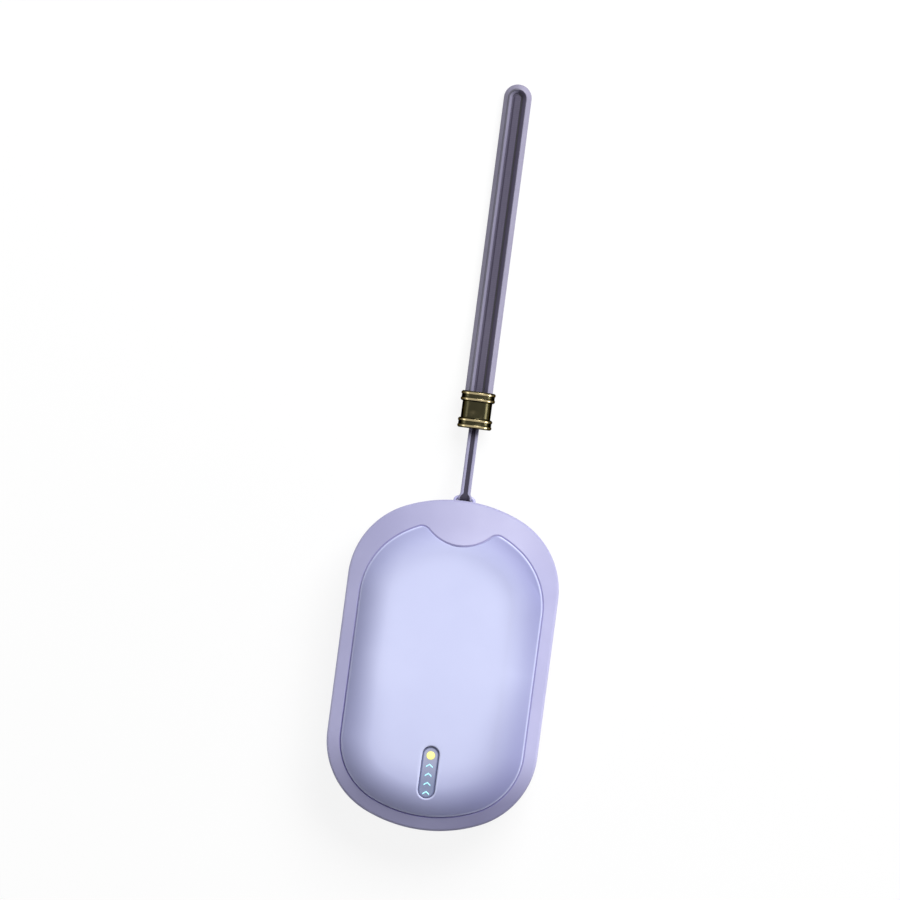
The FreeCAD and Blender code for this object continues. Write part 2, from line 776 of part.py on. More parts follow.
def make_lights():
    """Five lamps on the board, the walled shroud round them and the clear guide that stands in it."""
    def lamp(label, y):
        return block(label, ("-led_size / 2", f"{y} - led_size / 2", BOARD_TOP),
                     ("led_size", "led_size", "led_height"))

    status = lamp("status_led", DOT_Y)
    levels = combine("Compound", "level_leds", [
        lamp(f"level_led_{index}", chevron_y(index)) for index in range(CHEVRONS)])
    low, high = f"({KEY_Y} - key_length / 2)", f"({KEY_Y} + key_length / 2)"
    shroud_top = f"({FLANGE_FOOT} - key_travel - shroud_gap)"
    half = "(guide_width / 2 + shroud_wall)"
    outer = block("shroud_block", (f"-{half}", f"{low} - shroud_wall", BOARD_TOP),
                  (f"2 * {half}", "key_length + 2 * shroud_wall", f"{shroud_top} - {BOARD_TOP}"))
    hole = block("shroud_hole", ("-guide_width / 2", low, f"{BOARD_TOP} - seam"),
                 ("guide_width", f"{high} - {low}", f"{shroud_top} - {BOARD_TOP} + 2 * seam"))
    shroud = cut("light_shroud", outer, hole)
    guide_foot = f"({BOARD_TOP} + led_height + plunger_gap)"
    guide = block("light_guide", ("-guide_width / 2", low, guide_foot),
                  ("guide_width", f"{high} - {low}", f"{shroud_top} - {guide_foot}"))
    return [status, levels, shroud, guide]


# Tray, board and port


def make_tray():
    """The floor that carries the cells and the board, with ribs round the cells and posts under the board."""
    body = new_body("tray")
    sketch = new_sketch(body, height=TRAY_FOOT)
    draw_run(sketch, case_outline("rim_inset + seam + ledge_width + tray_gap"))
    pad(body, sketch, "tray_thickness")
    inner, outer = f"({CELL_HALF} + tray_gap / 2)", f"({CELL_HALF} + tray_gap / 2 + tray_rib)"
    sketch = new_sketch(body, height=TRAY_TOP)
    for side in (-1, 1):
        left, right = (f"-{outer}", f"-{inner}") if side < 0 else (inner, outer)
        rectangle(sketch, left, CELL_START, right, f"{CELL_END} - tray_rib_height")
    pad(body, sketch, "tray_rib_height")
    sketch = new_sketch(body, height=TRAY_TOP)
    for x, y in board_posts():
        circle(sketch, x, y, "post_radius")
    pad(body, sketch, f"{BOARD_FOOT} - {TRAY_TOP}")
    sketch = new_sketch(body, height=BOARD_FOOT)
    for x, y in board_posts():
        circle(sketch, x, y, "screw_diameter / 2 + screw_gap")
    pocket(body, sketch)
    sketch = new_sketch(body, height=TRAY_TOP)
    for x, y in tray_holes():
        circle(sketch, x, y, "screw_diameter / 2 + screw_gap")
    rectangle(sketch, "heater_lead_x - lead_diameter", f"{REAR_LEAD_Y} - lead_diameter",
              "heater_lead_x + lead_pitch + lead_diameter", f"{REAR_LEAD_Y} + lead_diameter")
    pocket(body, sketch)
    return body


def board_posts():
    """Where the board's four posts and screws stand."""
    rows = (f"{BOARD_UPPER} - post_margin", f"{BOARD_LOWER} + post_margin")
    return [(f"{side} * (board_width / 2 - post_margin)", y) for side in (-1, 1) for y in rows]


def tray_holes():
    """Where the tray's four screws go."""
    return [(f"{side} * {BOSS_X}", f"{end} * boss_y") for side in (-1, 1) for end in (-1, 1)]


def make_screw(label, x, y, seat, length, up):
    """A pan-head screw whose head lies on a seat, with its shank pointing up or down."""
    head_foot = f"{seat} - screw_head_height" if up else seat
    shank_foot = seat if up else f"{seat} - ({length})"
    head = rod(f"{label}_head", (x, y, head_foot), "screw_head / 2", "screw_head_height")
    shank = rod(f"{label}_shank", (x, y, shank_foot), "screw_diameter / 2", length)
    return combine("MultiFuse", label, [head, shank])


def make_screws():
    """The tray's screws, from below into the frame's bosses, and the board's, from above into the posts."""
    tray = [make_screw(f"tray_screw_{index}", x, y, TRAY_FOOT, "screw_length", True)
            for index, (x, y) in enumerate(tray_holes())]
    board = [make_screw(f"board_screw_{index}", x, y, BOARD_TOP, f"{BOARD_TOP} - {TRAY_TOP}", False)
             for index, (x, y) in enumerate(board_posts())]
    return [combine("Compound", "tray_screws", tray), combine("Compound", "board_screws", board)]


def make_board():
    """The circuit board: a main field and a neck that carries the charging port."""
    body = new_body("circuit_board")
    sketch = new_sketch(body, height=BOARD_FOOT)
    half, neck = "board_width / 2", "board_neck_width / 2"
    tip = "-(case_length / 2 - frame_wall - seam)"
    draw_profile(sketch, [(f"-{half}", BOARD_LOWER), (f"-{neck}", BOARD_LOWER), (f"-{neck}", tip),
                          (neck, tip), (neck, BOARD_LOWER), (half, BOARD_LOWER),
                          (half, BOARD_UPPER), (f"-{half}", BOARD_UPPER)])
    pad(body, sketch, "board_thickness")
    sketch = new_sketch(body, height=BOARD_TOP)
    for x, y in board_posts():
        circle(sketch, x, y, "screw_diameter / 2 + screw_gap")
    pocket(body, sketch)
    return body


def make_chips():
    """The larger parts soldered to the board."""
    def part(label, x, y, length, width, height):
        return block(label, (f"{x} - {length} / 2", f"{y} - {width} / 2", BOARD_TOP), (length, width, height))

    left, right = "-chip_x", "chip_x"
    control = part("control_chip", left, f"{KEY_Y} - chip_size / 2", "chip_size", "chip_size", "chip_height")
    charge = part("charge_chip", right, f"{KEY_Y} - chip_size / 2", "chip_size", "chip_size", "chip_height")
    coil = part("power_coil", right, f"{KEY_Y} + coil_size", "coil_size", "coil_size", "coil_height")
    small = [part(f"capacitor_{index}", left, f"{KEY_Y} + coil_size - {index} * 2 * capacitor_width",
                  "(2 * capacitor_width)", "capacitor_width", "chip_height") for index in range(2)]
    return [control, charge, coil, combine("Compound", "capacitors", small)]


def make_port():
    """The charging port's shell, open towards the end of the case, and the contact tongue inside it."""
    body = new_body("usb_socket")
    mouth = "(case_length / 2 - port_recess)"
    sketch = new_sketch(body, "XZ_Plane", mouth)
    flat_pill(sketch, "0")
    pad(body, sketch, "port_depth", back=True)
    sketch = new_sketch(body, "XZ_Plane", mouth)
    flat_pill(sketch, "-port_wall")
    pocket(body, sketch, "port_depth - 2 * port_wall")
    tongue = block("usb_tongue",
                   ("-port_tongue_width / 2", f"-{mouth} + port_depth - 2 * port_wall - port_tongue_length",
                    f"{MIDDLE} - port_tongue_thickness / 2"),
                   ("port_tongue_width", "port_tongue_length", "port_tongue_thickness"))
    return [body, tongue]


# Battery and heaters


def lead_x(first, index):
    """Where one of a pair of leads stands, across the case."""
    return f"({first} + {index} * lead_pitch)"


def make_battery():
    """Two flat cells on the tray, the tape between them and their two leads to the board."""
    lower_top = f"({TRAY_TOP} + cell_thickness)"
    size = (f"2 * {CELL_HALF}", f"{CELL_END} - {CELL_START}", "cell_thickness")
    left = f"-{CELL_HALF}"
    lower = block("battery_cell_lower", (left, CELL_START, TRAY_TOP), size)
    tape = block("battery_tape", (left, CELL_START, lower_top), (*size[:2], "tape_thickness"))
    upper = block("battery_cell_upper", (left, CELL_START, f"{lower_top} + tape_thickness"), size)
    radius = "lead_diameter / 2"
    level_z = f"({lower_top} - {radius})"
    leads = []
    for index in range(2):
        label = f"battery_lead_{index}"
        place = (lead_x("battery_lead_x", index), FRONT_LEAD_Y)
        upright = rod(f"{label}_upright", (*place, BOARD_TOP), radius, f"{level_z} - {BOARD_TOP}")
        elbow = document.addObject("Part::Sphere", f"{label}_elbow")
        bind(elbow, Radius=radius, Placement__Base__x=place[0], Placement__Base__y=place[1],
             Placement__Base__z=level_z)
        level = rod(f"{label}_level", (*place, level_z), radius, f"{CELL_START} - {FRONT_LEAD_Y}")
        level.Placement.Rotation = ALONG_Y
        leads.append(combine("MultiFuse", label, [upright, elbow, level]))
    return [lower, tape, upper, combine("Compound", "battery_leads", leads)]


def make_heaters():
    """A spreader plate, heater film and foam pad behind each cover, with the films' leads to the board."""
    film_half = f"({PLATE_HALF} - film_margin)"
    foam_half = f"({PLATE_HALF} - 2 * film_margin)"
    front_length = f"(case_length / 2 - front_plate_inset - {CELL_START})"
    rear_length = f"(2 * {CELL_END})"
    front_plate = block("front_heat_plate", (f"-{PLATE_HALF}", CELL_START, FRONT_PLATE_FOOT),
                        (f"2 * {PLATE_HALF}", front_length, "plate_thickness"))
    rear_plate = block("rear_heat_plate", (f"-{PLATE_HALF}", f"-{CELL_END}", "cover_wall"),
                       (f"2 * {PLATE_HALF}", rear_length, "plate_thickness"))
    sheet_front = block("front_film_sheet", (f"-{film_half}", f"{CELL_START} + film_margin", FRONT_FILM_FOOT),
                        (f"2 * {film_half}", f"{front_length} - 2 * film_margin", "film_thickness"))
    tail = block("front_film_tail",
                 ("heater_lead_x + lead_pitch / 2 - film_tail_width / 2", f"{FRONT_LEAD_Y} - lead_diameter",
                  FRONT_FILM_FOOT),
                 ("film_tail_width", f"{CELL_START} - {FRONT_LEAD_Y} + lead_diameter + 2 * film_margin",
                  "film_thickness"))
    front_film = combine("MultiFuse", "front_heater_film", [sheet_front, tail])
    rear_film = block("rear_heater_film", (f"-{film_half}", f"-{CELL_END} + film_margin", REAR_PLATE_TOP),
                      (f"2 * {film_half}", f"{rear_length} - 2 * film_margin", "film_thickness"))
    cells_top = f"({TRAY_TOP} + 2 * cell_thickness + tape_thickness)"
    front_foam = block("front_foam", (f"-{foam_half}", f"{CELL_START} + 2 * film_margin", cells_top),
                       (f"2 * {foam_half}", f"{front_length} - 4 * film_margin",
                        f"{FRONT_FILM_FOOT} - {cells_top}"))
    rear_foam = block("rear_foam", (f"-{foam_half}", CELL_START, REAR_FILM_TOP),
                      (f"2 * {foam_half}", f"{CELL_END} - {CELL_START} - 2 * film_margin",
                       f"{TRAY_FOOT} - {REAR_FILM_TOP}"))
    leads = []
    for index in range(2):
        x = lead_x("heater_lead_x", index)
        leads.append(rod(f"front_heater_lead_{index}", (x, FRONT_LEAD_Y, BOARD_TOP), "lead_diameter / 2",
                         f"{FRONT_FILM_FOOT} - {BOARD_TOP}"))
        leads.append(rod(f"rear_heater_lead_{index}", (x, REAR_LEAD_Y, REAR_FILM_TOP), "lead_diameter / 2",
                         f"{BOARD_FOOT} - {REAR_FILM_TOP}"))
    probe = block("thermistor", ("chip_x", REAR_LEAD_Y, REAR_FILM_TOP),
                  ("2 * led_size", "led_size", "chip_height"))
    return [front_plate, rear_plate, front_film, rear_film, front_foam, rear_foam,
            combine("Compound", "heater_leads", leads), probe]


# Lanyard


def make_bail():
    """A wire staple: two legs in the frame's end and a straight crown that the tether goes round."""
    body = new_body("lanyard_bail")
    half = "((bail_width - bail_wire) / 2)"
    foot = "(case_length / 2 - bail_leg)"
    path = new_sketch(body, height=MIDDLE)
    corners = [(f"-{half}", foot), (f"-{half}", f"{BAIL_Y} - bail_bend"), (f"-{half} + bail_bend", BAIL_Y),
               (f"{half} - bail_bend", BAIL_Y), (half, f"{BAIL_Y} - bail_bend"), (half, foot)]
    draw_profile(path, corners, {1: ("bail_bend", "right"), 3: ("bail_bend", "right")}, closed=False)
    section = new_sketch(body, "XZ_Plane", f"-{foot}")
    circle(section, f"-{half}", MIDDLE, "bail_wire / 2")
    pipe = body.newObject("PartDesign::AdditivePipe", "Wire")
    pipe.Profile = section
    pipe.Spine = (path, [f"Edge{index}" for index in range(1, len(corners))])
    document.recompute()
    return body


BEND_SHARE = 0.45


def tether_layer(side):
    """One layer of the folded tether, from the ferrule to the crown of the bail.

    side is 1 for the layer that passes over the crown and -1 for the one under it. Gives the start, the ends
    of the bend's arc, a point on it, the point where the layer meets the crown and the bend's radius.
    """
    crown = Vector(0, value(BAIL_Y), value(MIDDLE))
    reach = value("bail_wire / 2 + tether_gap + tether_thickness / 2")
    level = value(LANYARD_Z) + side * value("tether_layer_spacing") / 2
    start = Vector(0, value(f"{FERRULE_START} + ferrule_floor"), level)
    corner = Vector(0, value(f"{FERRULE_START} - tether_bend"), level)
    span = corner - crown
    distance = math.hypot(span.y, span.z)
    angle = math.atan2(span.z, span.y) + side * math.acos(reach / distance)
    touch = crown + Vector(0, math.cos(angle), math.sin(angle)) * reach
    incoming = (corner - start).normalize()
    outgoing = (touch - corner).normalize()
    turn = incoming.getAngle(outgoing)
    run = min((corner - start).Length, (touch - corner).Length)
    radius = BEND_SHARE * run / math.tan(turn / 2)
    cut_back = radius * math.tan(turn / 2)
    first, last = corner - incoming * cut_back, corner + outgoing * cut_back
    inward = (outgoing - incoming).normalize()
    middle = corner + inward * (radius / math.cos(turn / 2) - radius)
    return start, first, middle, last, touch, radius


def make_tether():
    """A flat tape from the ferrule round the crown of the bail and back, swept as one ribbon."""
    over, under = tether_layer(1), tether_layer(-1)
    back = Vector(0, value(BAIL_Y), value(MIDDLE))
    reach = value("bail_wire / 2 + tether_gap + tether_thickness / 2")
    behind = back - ((over[4] - back) + (under[4] - back)).normalize() * reach
    if behind.y > back.y:
        behind = back * 2 - behind
    path = Part.Wire([
        Part.LineSegment(over[0], over[1]).toShape(), Part.Arc(over[1], over[2], over[3]).toShape(),
        Part.LineSegment(over[3], over[4]).toShape(), Part.Arc(over[4], behind, under[4]).toShape(),
        Part.LineSegment(under[4], under[3]).toShape(), Part.Arc(under[3], under[2], under[1]).toShape(),
        Part.LineSegment(under[1], under[0]).toShape()])
    half_width, half_thick = value("tether_width / 2"), value("tether_thickness / 2")
    ring = [over[0] + Vector(x * half_width, 0, z * half_thick)
            for x, z in ((-1, -1), (1, -1), (1, 1), (-1, 1))]
    section = Part.makePolygon([*ring, ring[0]])
    shape = path.makePipeShell([section], True, False)
    expected = path.Length * value("tether_width * tether_thickness")
    print(f"tether: length {path.Length:.2f}, bends {over[5]:.1f} and {under[5]:.1f},"
          f" volume {shape.Volume:.2f} for {expected:.2f}")
    item = document.addObject("Part::Feature", "lanyard_tether")
    item.Label = "lanyard_tether"
    item.Shape = shape
    return item


def make_ferrule():
    """A turned barrel with two flanges, a socket for the strap, a chamber for the stop and a tether hole."""
    body = new_body("ferrule")
    sketch = new_sketch(body, "YZ_Plane")
    bind(sketch, AttachmentOffset__Base__y=LANYARD_Z)
    flange, barrel = "ferrule_flange / 2", "ferrule_barrel / 2"
    low, high = f"({FERRULE_START} + ferrule_flange_length)", f"({FERRULE_END} - ferrule_flange_length)"
    socket = f"({FERRULE_END} - ferrule_socket_depth)"
    floor = f"({FERRULE_START} + ferrule_floor)"
    draw_profile(sketch, [
        (FERRULE_START, "ferrule_hole / 2"), (floor, "ferrule_hole / 2"), (floor, "ferrule_chamber / 2"),
        (socket, "ferrule_chamber / 2"), (socket, "ferrule_socket / 2"), (FERRULE_END, "ferrule_socket / 2"),
        (FERRULE_END, flange), (high, flange), (high, barrel), (low, barrel), (low, flange),
        (FERRULE_START, flange)])
    turned = body.newObject("PartDesign::Revolution", "Turned")
    turned.Profile = sketch
    turned.ReferenceAxis = (sketch, ["H_Axis"])
    turned.Angle = 360
    document.recompute()
    rim = value(flange)
    round_edges(body, lambda edge: hasattr(edge.Curve, "Radius") and abs(edge.Curve.Radius - rim) < SAME,
                "ferrule_round")
    return body


def make_stop():
    """The crimp inside the ferrule that the tether's ends are fixed in."""
    item = rod("tether_stop", ("0", f"{FERRULE_START} + ferrule_floor", LANYARD_Z), "stop_diameter / 2",
               "stop_length")
    item.Placement.Rotation = ALONG_Y
    return item


def strap_side(label, depth):
    """A slab that leaves the ferrule level, comes down in two equal arcs and lies along the floor."""
    body = new_body(label)
    drop = f"({LANYARD_Z} - {STRAP_LOW})"
    radius = f"((strap_sag_run ^ 2 + {drop} ^ 2) / (4 * {drop}))"
    lean = f"(strap_sag_run / 2 / {radius})"
    rise = f"(1 - {drop} / 2 / {radius})"
    half = f"({depth} / 2)"
    fall = f"({FERRULE_END} + strap_lead)"
    middle_y, middle_z = f"({fall} + strap_sag_run / 2)", f"({LANYARD_Z} - {drop} / 2)"
    landing = f"({fall} + strap_sag_run)"
    sketch = new_sketch(body, "YZ_Plane")
    corners = [
        (STRAP_ROOT, f"{LANYARD_Z} - {half}"), (fall, f"{LANYARD_Z} - {half}"),
        (f"{middle_y} - {half} * {lean}", f"{middle_z} - {half} * {rise}"),
        (landing, f"{STRAP_LOW} - {half}"),
        (STRAP_END, f"{STRAP_LOW} - {half}"), (STRAP_END, f"{STRAP_LOW} + {half}"),
        (landing, f"{STRAP_LOW} + {half}"),
        (f"{middle_y} + {half} * {lean}", f"{middle_z} + {half} * {rise}"),
        (fall, f"{LANYARD_Z} + {half}"), (STRAP_ROOT, f"{LANYARD_Z} + {half}")]
    draw_profile(sketch, corners, {
        1: (f"{radius} - {half}", "right"), 2: (f"{radius} + {half}", "left"),
        6: (f"{radius} - {half}", "right"), 7: (f"{radius} + {half}", "left")})
    pad(body, sketch, "2 * strap_width", both=True)
    return body


def strap_plan(label, outer, inner, end):
    """A narrow hairpin seen from above, between two half widths."""
    body = new_body(label)
    sketch = new_sketch(body)
    crown = f"({STRAP_END} - strap_width / 2)"
    draw_profile(sketch, [
        (outer, STRAP_ROOT), (outer, crown), ("0", end), (f"-{outer}", crown), (f"-{outer}", STRAP_ROOT),
        (f"-{inner}", STRAP_ROOT), (f"-{inner}", crown), ("0", f"{crown} + {inner}"), (inner, crown),
        (inner, STRAP_ROOT)],
        {1: (outer, "left"), 2: (outer, "left"), 6: (inner, "right"), 7: (inner, "right")})
    pad(body, sketch, "2 * ferrule_flange")
    return body


def make_strap():
    """The wrist loop: a lavender band and the dark lining between its two legs."""
    crown = f"({STRAP_END} - strap_width / 2)"
    band_outer, band_inner = "(strap_width / 2)", "(strap_width / 2 - strap_wall)"
    lining_outer = f"({band_inner} - close_fit)"
    band = combine("MultiCommon", "strap_band", [
        strap_plan("band_plan", band_outer, band_inner, STRAP_END), strap_side("band_side", "strap_depth")])
    lining = combine("MultiCommon", "strap_lining", [
        strap_plan("lining_plan", lining_outer, "(lining_slit / 2)", f"{crown} + {lining_outer}"),
        strap_side("lining_side", "lining_depth")])
    return [band, lining]


def make_parts():
    """Every sub-part, in the order in which the warmer is put together."""
    return [
        make_mid_frame(), make_front_cover(), make_rear_cover(),
        make_gasket("front_gasket", LEDGE, front_outline),
        make_gasket("rear_gasket", COVER_DEPTH, lambda inset: case_outline(f"rim_inset + {inset}")),
        make_power_key(), make_status_lens(), make_level_chevrons(), *make_switch(), *make_lights(),
        make_tray(), *make_screws(), make_board(), *make_chips(), *make_port(),
        *make_battery(), *make_heaters(),
        make_bail(), make_tether(), make_ferrule(), make_stop(), *make_strap()]


def check(parts):
    """Stop if any object failed, or any sub-part has no sound shape."""
    for item in document.Objects:
        if any(state in ("Invalid", "Error") for state in item.State):
            raise RuntimeError(f"{item.Label} failed: {item.State}")
    for part in parts:
        if part.Shape.isNull() or not part.Shape.isValid() or not part.Shape.Solids:
            raise RuntimeError(f"{part.Label} has no sound shape")


def main():
    """Build the document, check it and write one STEP file for each sub-part."""
    parts = make_parts()
    document.recompute()
    check(parts)
    os.makedirs("parts", exist_ok=True)
    for part in parts:
        part.Shape.exportStep(f"parts/{part.Label}.step")
        print(f"{part.Label}: {len(part.Shape.Solids)} solids, {part.Shape.Volume:.1f} mm3")


main()
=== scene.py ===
"""Studio scene of a rechargeable hand warmer with a wrist lanyard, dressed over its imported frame."""
import logging
import math
from dataclasses import dataclass, field
from enum import Enum
from typing import Any, Sequence

import bmesh
import bpy
import numpy as np
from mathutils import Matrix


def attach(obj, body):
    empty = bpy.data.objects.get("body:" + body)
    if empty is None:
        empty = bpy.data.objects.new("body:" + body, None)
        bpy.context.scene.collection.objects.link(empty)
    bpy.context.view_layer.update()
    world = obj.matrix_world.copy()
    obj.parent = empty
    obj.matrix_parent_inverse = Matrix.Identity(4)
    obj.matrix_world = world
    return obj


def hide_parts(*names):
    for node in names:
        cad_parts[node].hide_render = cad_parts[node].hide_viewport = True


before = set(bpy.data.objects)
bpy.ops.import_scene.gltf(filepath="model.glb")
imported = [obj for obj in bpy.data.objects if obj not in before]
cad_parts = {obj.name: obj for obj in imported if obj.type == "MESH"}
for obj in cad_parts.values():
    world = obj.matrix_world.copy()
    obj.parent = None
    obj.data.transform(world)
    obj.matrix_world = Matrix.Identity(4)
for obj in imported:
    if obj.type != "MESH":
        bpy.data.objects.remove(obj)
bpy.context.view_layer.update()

LOG = logging.getLogger("hand_warmer")
MM = 0.001
TINY = 1e-9
JOIN_DISTANCE = 1e-6
MERGE_DISTANCE = 0.002
SHARP_ANGLE = math.radians(50)
Array = np.ndarray
Colour = tuple[float, float, float]
Vector = tuple[float, float, float]
WHITE: Colour = (1.0, 1.0, 1.0)
ACROSS, ALONG, UP = np.eye(3)


class Body(Enum):
    """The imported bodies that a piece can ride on."""

    CASE = "case"
    KEY = "power_key"
    LANYARD = "lanyard"


class End(Enum):
    """The two ends of the case; the value is the direction that the end faces along Y."""

    UPPER = 1
    LOWER = -1


# Steps, directions and measures


def held(value: Array) -> Array:
    """The value, held between 0 and 1."""
    return np.clip(value, 0.0, 1.0)


def smooth(value: Array) -> Array:
    """A smooth step: with t the value held between 0 and 1, three t squared less two t cubed."""
    t = held(value)
    return t**2 * (3 - 2 * t)


def compass(angle: Array) -> Array:
    """The unit vector in each direction, n by 2: its cosine and its sine."""
    return np.stack([np.cos(angle), np.sin(angle)], axis=1)


def circle(count: int) -> Array:
    """Evenly spaced points of the unit circle, count by 2."""
    return compass(np.linspace(0, math.tau, count, endpoint=False))


def quarter_round(radius: float, count: int = 6) -> Array:
    """A quarter round's steps in and down: the radius times 1 less the cosine, and 1 less the sine."""
    return radius * (1 - compass(np.linspace(0, math.pi / 2, count)))


def unit(vectors: Array) -> Array:
    """Each row divided by its own length."""
    return vectors / np.linalg.norm(vectors, axis=1, keepdims=True)


def distances(path: Array) -> Array:
    """How far along a path each of its points lies: the running sum of its steps."""
    return np.append(0.0, np.cumsum(np.linalg.norm(np.diff(path, axis=0), axis=1)))


def metres(lengths: Sequence[float]) -> list[float]:
    """Lengths in millimetres, as metres."""
    return [length * MM for length in lengths]


def scaled(colour: Colour, share: float) -> Colour:
    """A colour with each of its parts times a share."""
    red, green, blue = colour
    return share * red, share * green, share * blue


# Outlines seen from above


@dataclass(frozen=True)
class Arc:
    """One arc of an outline: its centre, its signed radius, and where its outward normal starts and ends.

    The directions are in radians. The radius is negative where the outline bends inwards.
    """

    x: float
    y: float
    radius: float
    start: float
    end: float

    def point(self, angle: float) -> tuple[float, float]:
        """The point whose outward normal has this direction."""
        return self.x + self.radius * math.cos(angle), self.y + self.radius * math.sin(angle)


@dataclass(frozen=True)
class Outline:
    """A closed smooth run of arcs and straight lines, counter-clockwise.

    Each row of spans is: first centre x, y, last centre x, y, signed radius, first and last normal direction.
    """

    spans: Array

    @classmethod
    def from_arcs(cls, arcs: Sequence[Arc]) -> "Outline":
        """Join arcs with straight lines wherever one doesn't start at the end of the one before.

        Args:
            arcs: the arcs in order, counter-clockwise.

        Returns:
            The closed outline.
        """
        rows = []
        for arc, following in zip(arcs, [*arcs[1:], arcs[0]]):
            rows.append([arc.x, arc.y, arc.x, arc.y, arc.radius, arc.start, arc.end])
            here, there = arc.point(arc.end), following.point(following.start)
            if math.dist(here, there) > JOIN_DISTANCE:
                rows.append([*here, *there, 0.0, arc.end, arc.end])
        return cls(np.array(rows))

    def sample(self, count: int) -> tuple[Array, Array]:
        """Evenly spaced points: at share u of a span, centre(u) plus the radius times the normal(u).

        Args:
            count: how many points to spread over the whole outline.

        Returns:
            The points and their outward normals, both count by 2.
        """
        first, last = self.spans[:, 0:2], self.spans[:, 2:4]
        radius, begin, end = self.spans[:, 4], self.spans[:, 5], self.spans[:, 6]
        length = np.abs(radius * (end - begin)) + np.linalg.norm(last - first, axis=1)
        reach = np.append(0.0, np.cumsum(length))
        along = np.arange(count) * reach[-1] / count
        span = np.clip(np.searchsorted(reach, along, side="right") - 1, 0, len(length) - 1)
        share = ((along - reach[span]) / length[span])[:, None]
        angle = begin[span] + share[:, 0] * (end - begin)[span]
        normal = compass(angle)
        return first[span] + share * (last - first)[span] + radius[span, None] * normal, normal


@dataclass(frozen=True)
class PebbleEnd:
    """One end of a pebble: its reach from the middle, its corner radius and its flatter crown's radius."""

    reach: float
    corner: float
    crown: float

    @property
    def crown_y(self) -> float:
        """Height of the crown's centre above the middle."""
        return self.reach - self.crown

    def corner_y(self, corner_x: float) -> float:
        """Height of a corner's centre, where the corner's arc touches the crown's from inside."""
        return self.crown_y + math.sqrt((self.crown - self.corner) ** 2 - corner_x**2)


@dataclass(frozen=True)
class Tongue:
    """The round tongue that the rim puts into the front opening, with the rounded shoulders beside it."""

    tip: float
    radius: float
    shoulder: float

    @property
    def centre(self) -> float:
        """Height of the tongue's centre."""
        return self.tip + self.radius

    def arcs(self, end: PebbleEnd, join: float) -> list[Arc]:
        """The crown of an end with this tongue in it; each shoulder touches the crown and the tongue.

        Args:
            end: the end whose crown the tongue interrupts.
            join: direction at which the crown starts.

        Returns:
            The arcs from the right corner to the left one.
        """
        far, near = end.crown - self.shoulder, self.radius + self.shoulder
        gap = self.centre - end.crown_y
        y = end.crown_y + (far**2 - near**2 + gap**2) / (2 * gap)
        x = math.sqrt(far**2 - (y - end.crown_y) ** 2)
        out = math.atan2(y - end.crown_y, x)
        inward = math.atan2(self.centre - y, -x)
        return [
            Arc(0, end.crown_y, end.crown, join, out),
            Arc(x, y, self.shoulder, out, inward),
            Arc(0, self.centre, -self.radius, inward, math.pi - inward),
            Arc(-x, y, self.shoulder, math.pi - inward, math.pi - out),
            Arc(0, end.crown_y, end.crown, math.pi - out, math.pi - join),
        ]


@dataclass(frozen=True)
class Pebble:
    """A pebble outline: straight sides, round corners and a flatter crown at each end."""

    half: float
    upper: PebbleEnd
    lower: PebbleEnd

    def outline(self, tongue: Tongue | None = None) -> Outline:
        """The outline as arcs, with a tongue in its upper crown if one is given.

        Args:
            tongue: the tongue to leave out of the pebble, or None.

        Returns:
            The closed outline, which starts on the right side.
        """
        up_x, low_x = self.half - self.upper.corner, self.half - self.lower.corner
        up_y, low_y = self.upper.corner_y(up_x), self.lower.corner_y(low_x)
        up = math.atan2(up_y - self.upper.crown_y, up_x)
        low = math.atan2(low_y - self.lower.crown_y, low_x)
        plain = [Arc(0, self.upper.crown_y, self.upper.crown, up, math.pi - up)]
        return Outline.from_arcs([
            Arc(up_x, up_y, self.upper.corner, 0, up),
            *(tongue.arcs(self.upper, up) if tongue else plain),
            Arc(-up_x, up_y, self.upper.corner, math.pi - up, math.pi),
            Arc(-low_x, -low_y, self.lower.corner, math.pi, math.pi + low),
            Arc(0, -self.lower.crown_y, self.lower.crown, math.pi + low, math.tau - low),
            Arc(low_x, -low_y, self.lower.corner, math.tau - low, math.tau),
        ])

    def nearest(self, points: Array) -> tuple[Array, Array, Array]:
        """Nearest point of the outline, found along the fan of normals that a point lies in.

        Beside a straight side the fan is level, past a corner's centre it spreads from that centre, and
        between the corners it spreads from the crown's centre. The depth is the fan's radius less the
        distance.

        Args:
            points: n by 2 points inside the outline.

        Returns:
            The foot of each point, the outward normal there, and the depth below the outline.
        """
        x, y = points[:, 0], points[:, 1]
        sign = np.where(y > 0, 1.0, -1.0)
        rows = np.array([[self.half - end.corner, end.corner_y(self.half - end.corner), end.corner,
                          end.crown_y, end.crown] for end in (self.lower, self.upper)])
        corner_x, corner_y, corner, crown_y, crown_radius = rows[(y > 0).astype(int)].T
        beside = np.abs(y) <= corner_y
        crown = ~beside & (np.abs(x) * (corner_y - crown_y) <= corner_x * (np.abs(y) - crown_y))
        centre_x = np.where(beside | crown, 0.0, np.sign(x) * corner_x)
        centre_y = np.where(beside, y, sign * np.where(crown, crown_y, corner_y))
        radius = np.where(beside, self.half, np.where(crown, crown_radius, corner))
        centre = np.stack([centre_x, centre_y], axis=1)
        away = points - centre
        distance = np.maximum(np.linalg.norm(away, axis=1), TINY)
        normal = away / distance[:, None]
        return centre + radius[:, None] * normal, normal, radius - distance


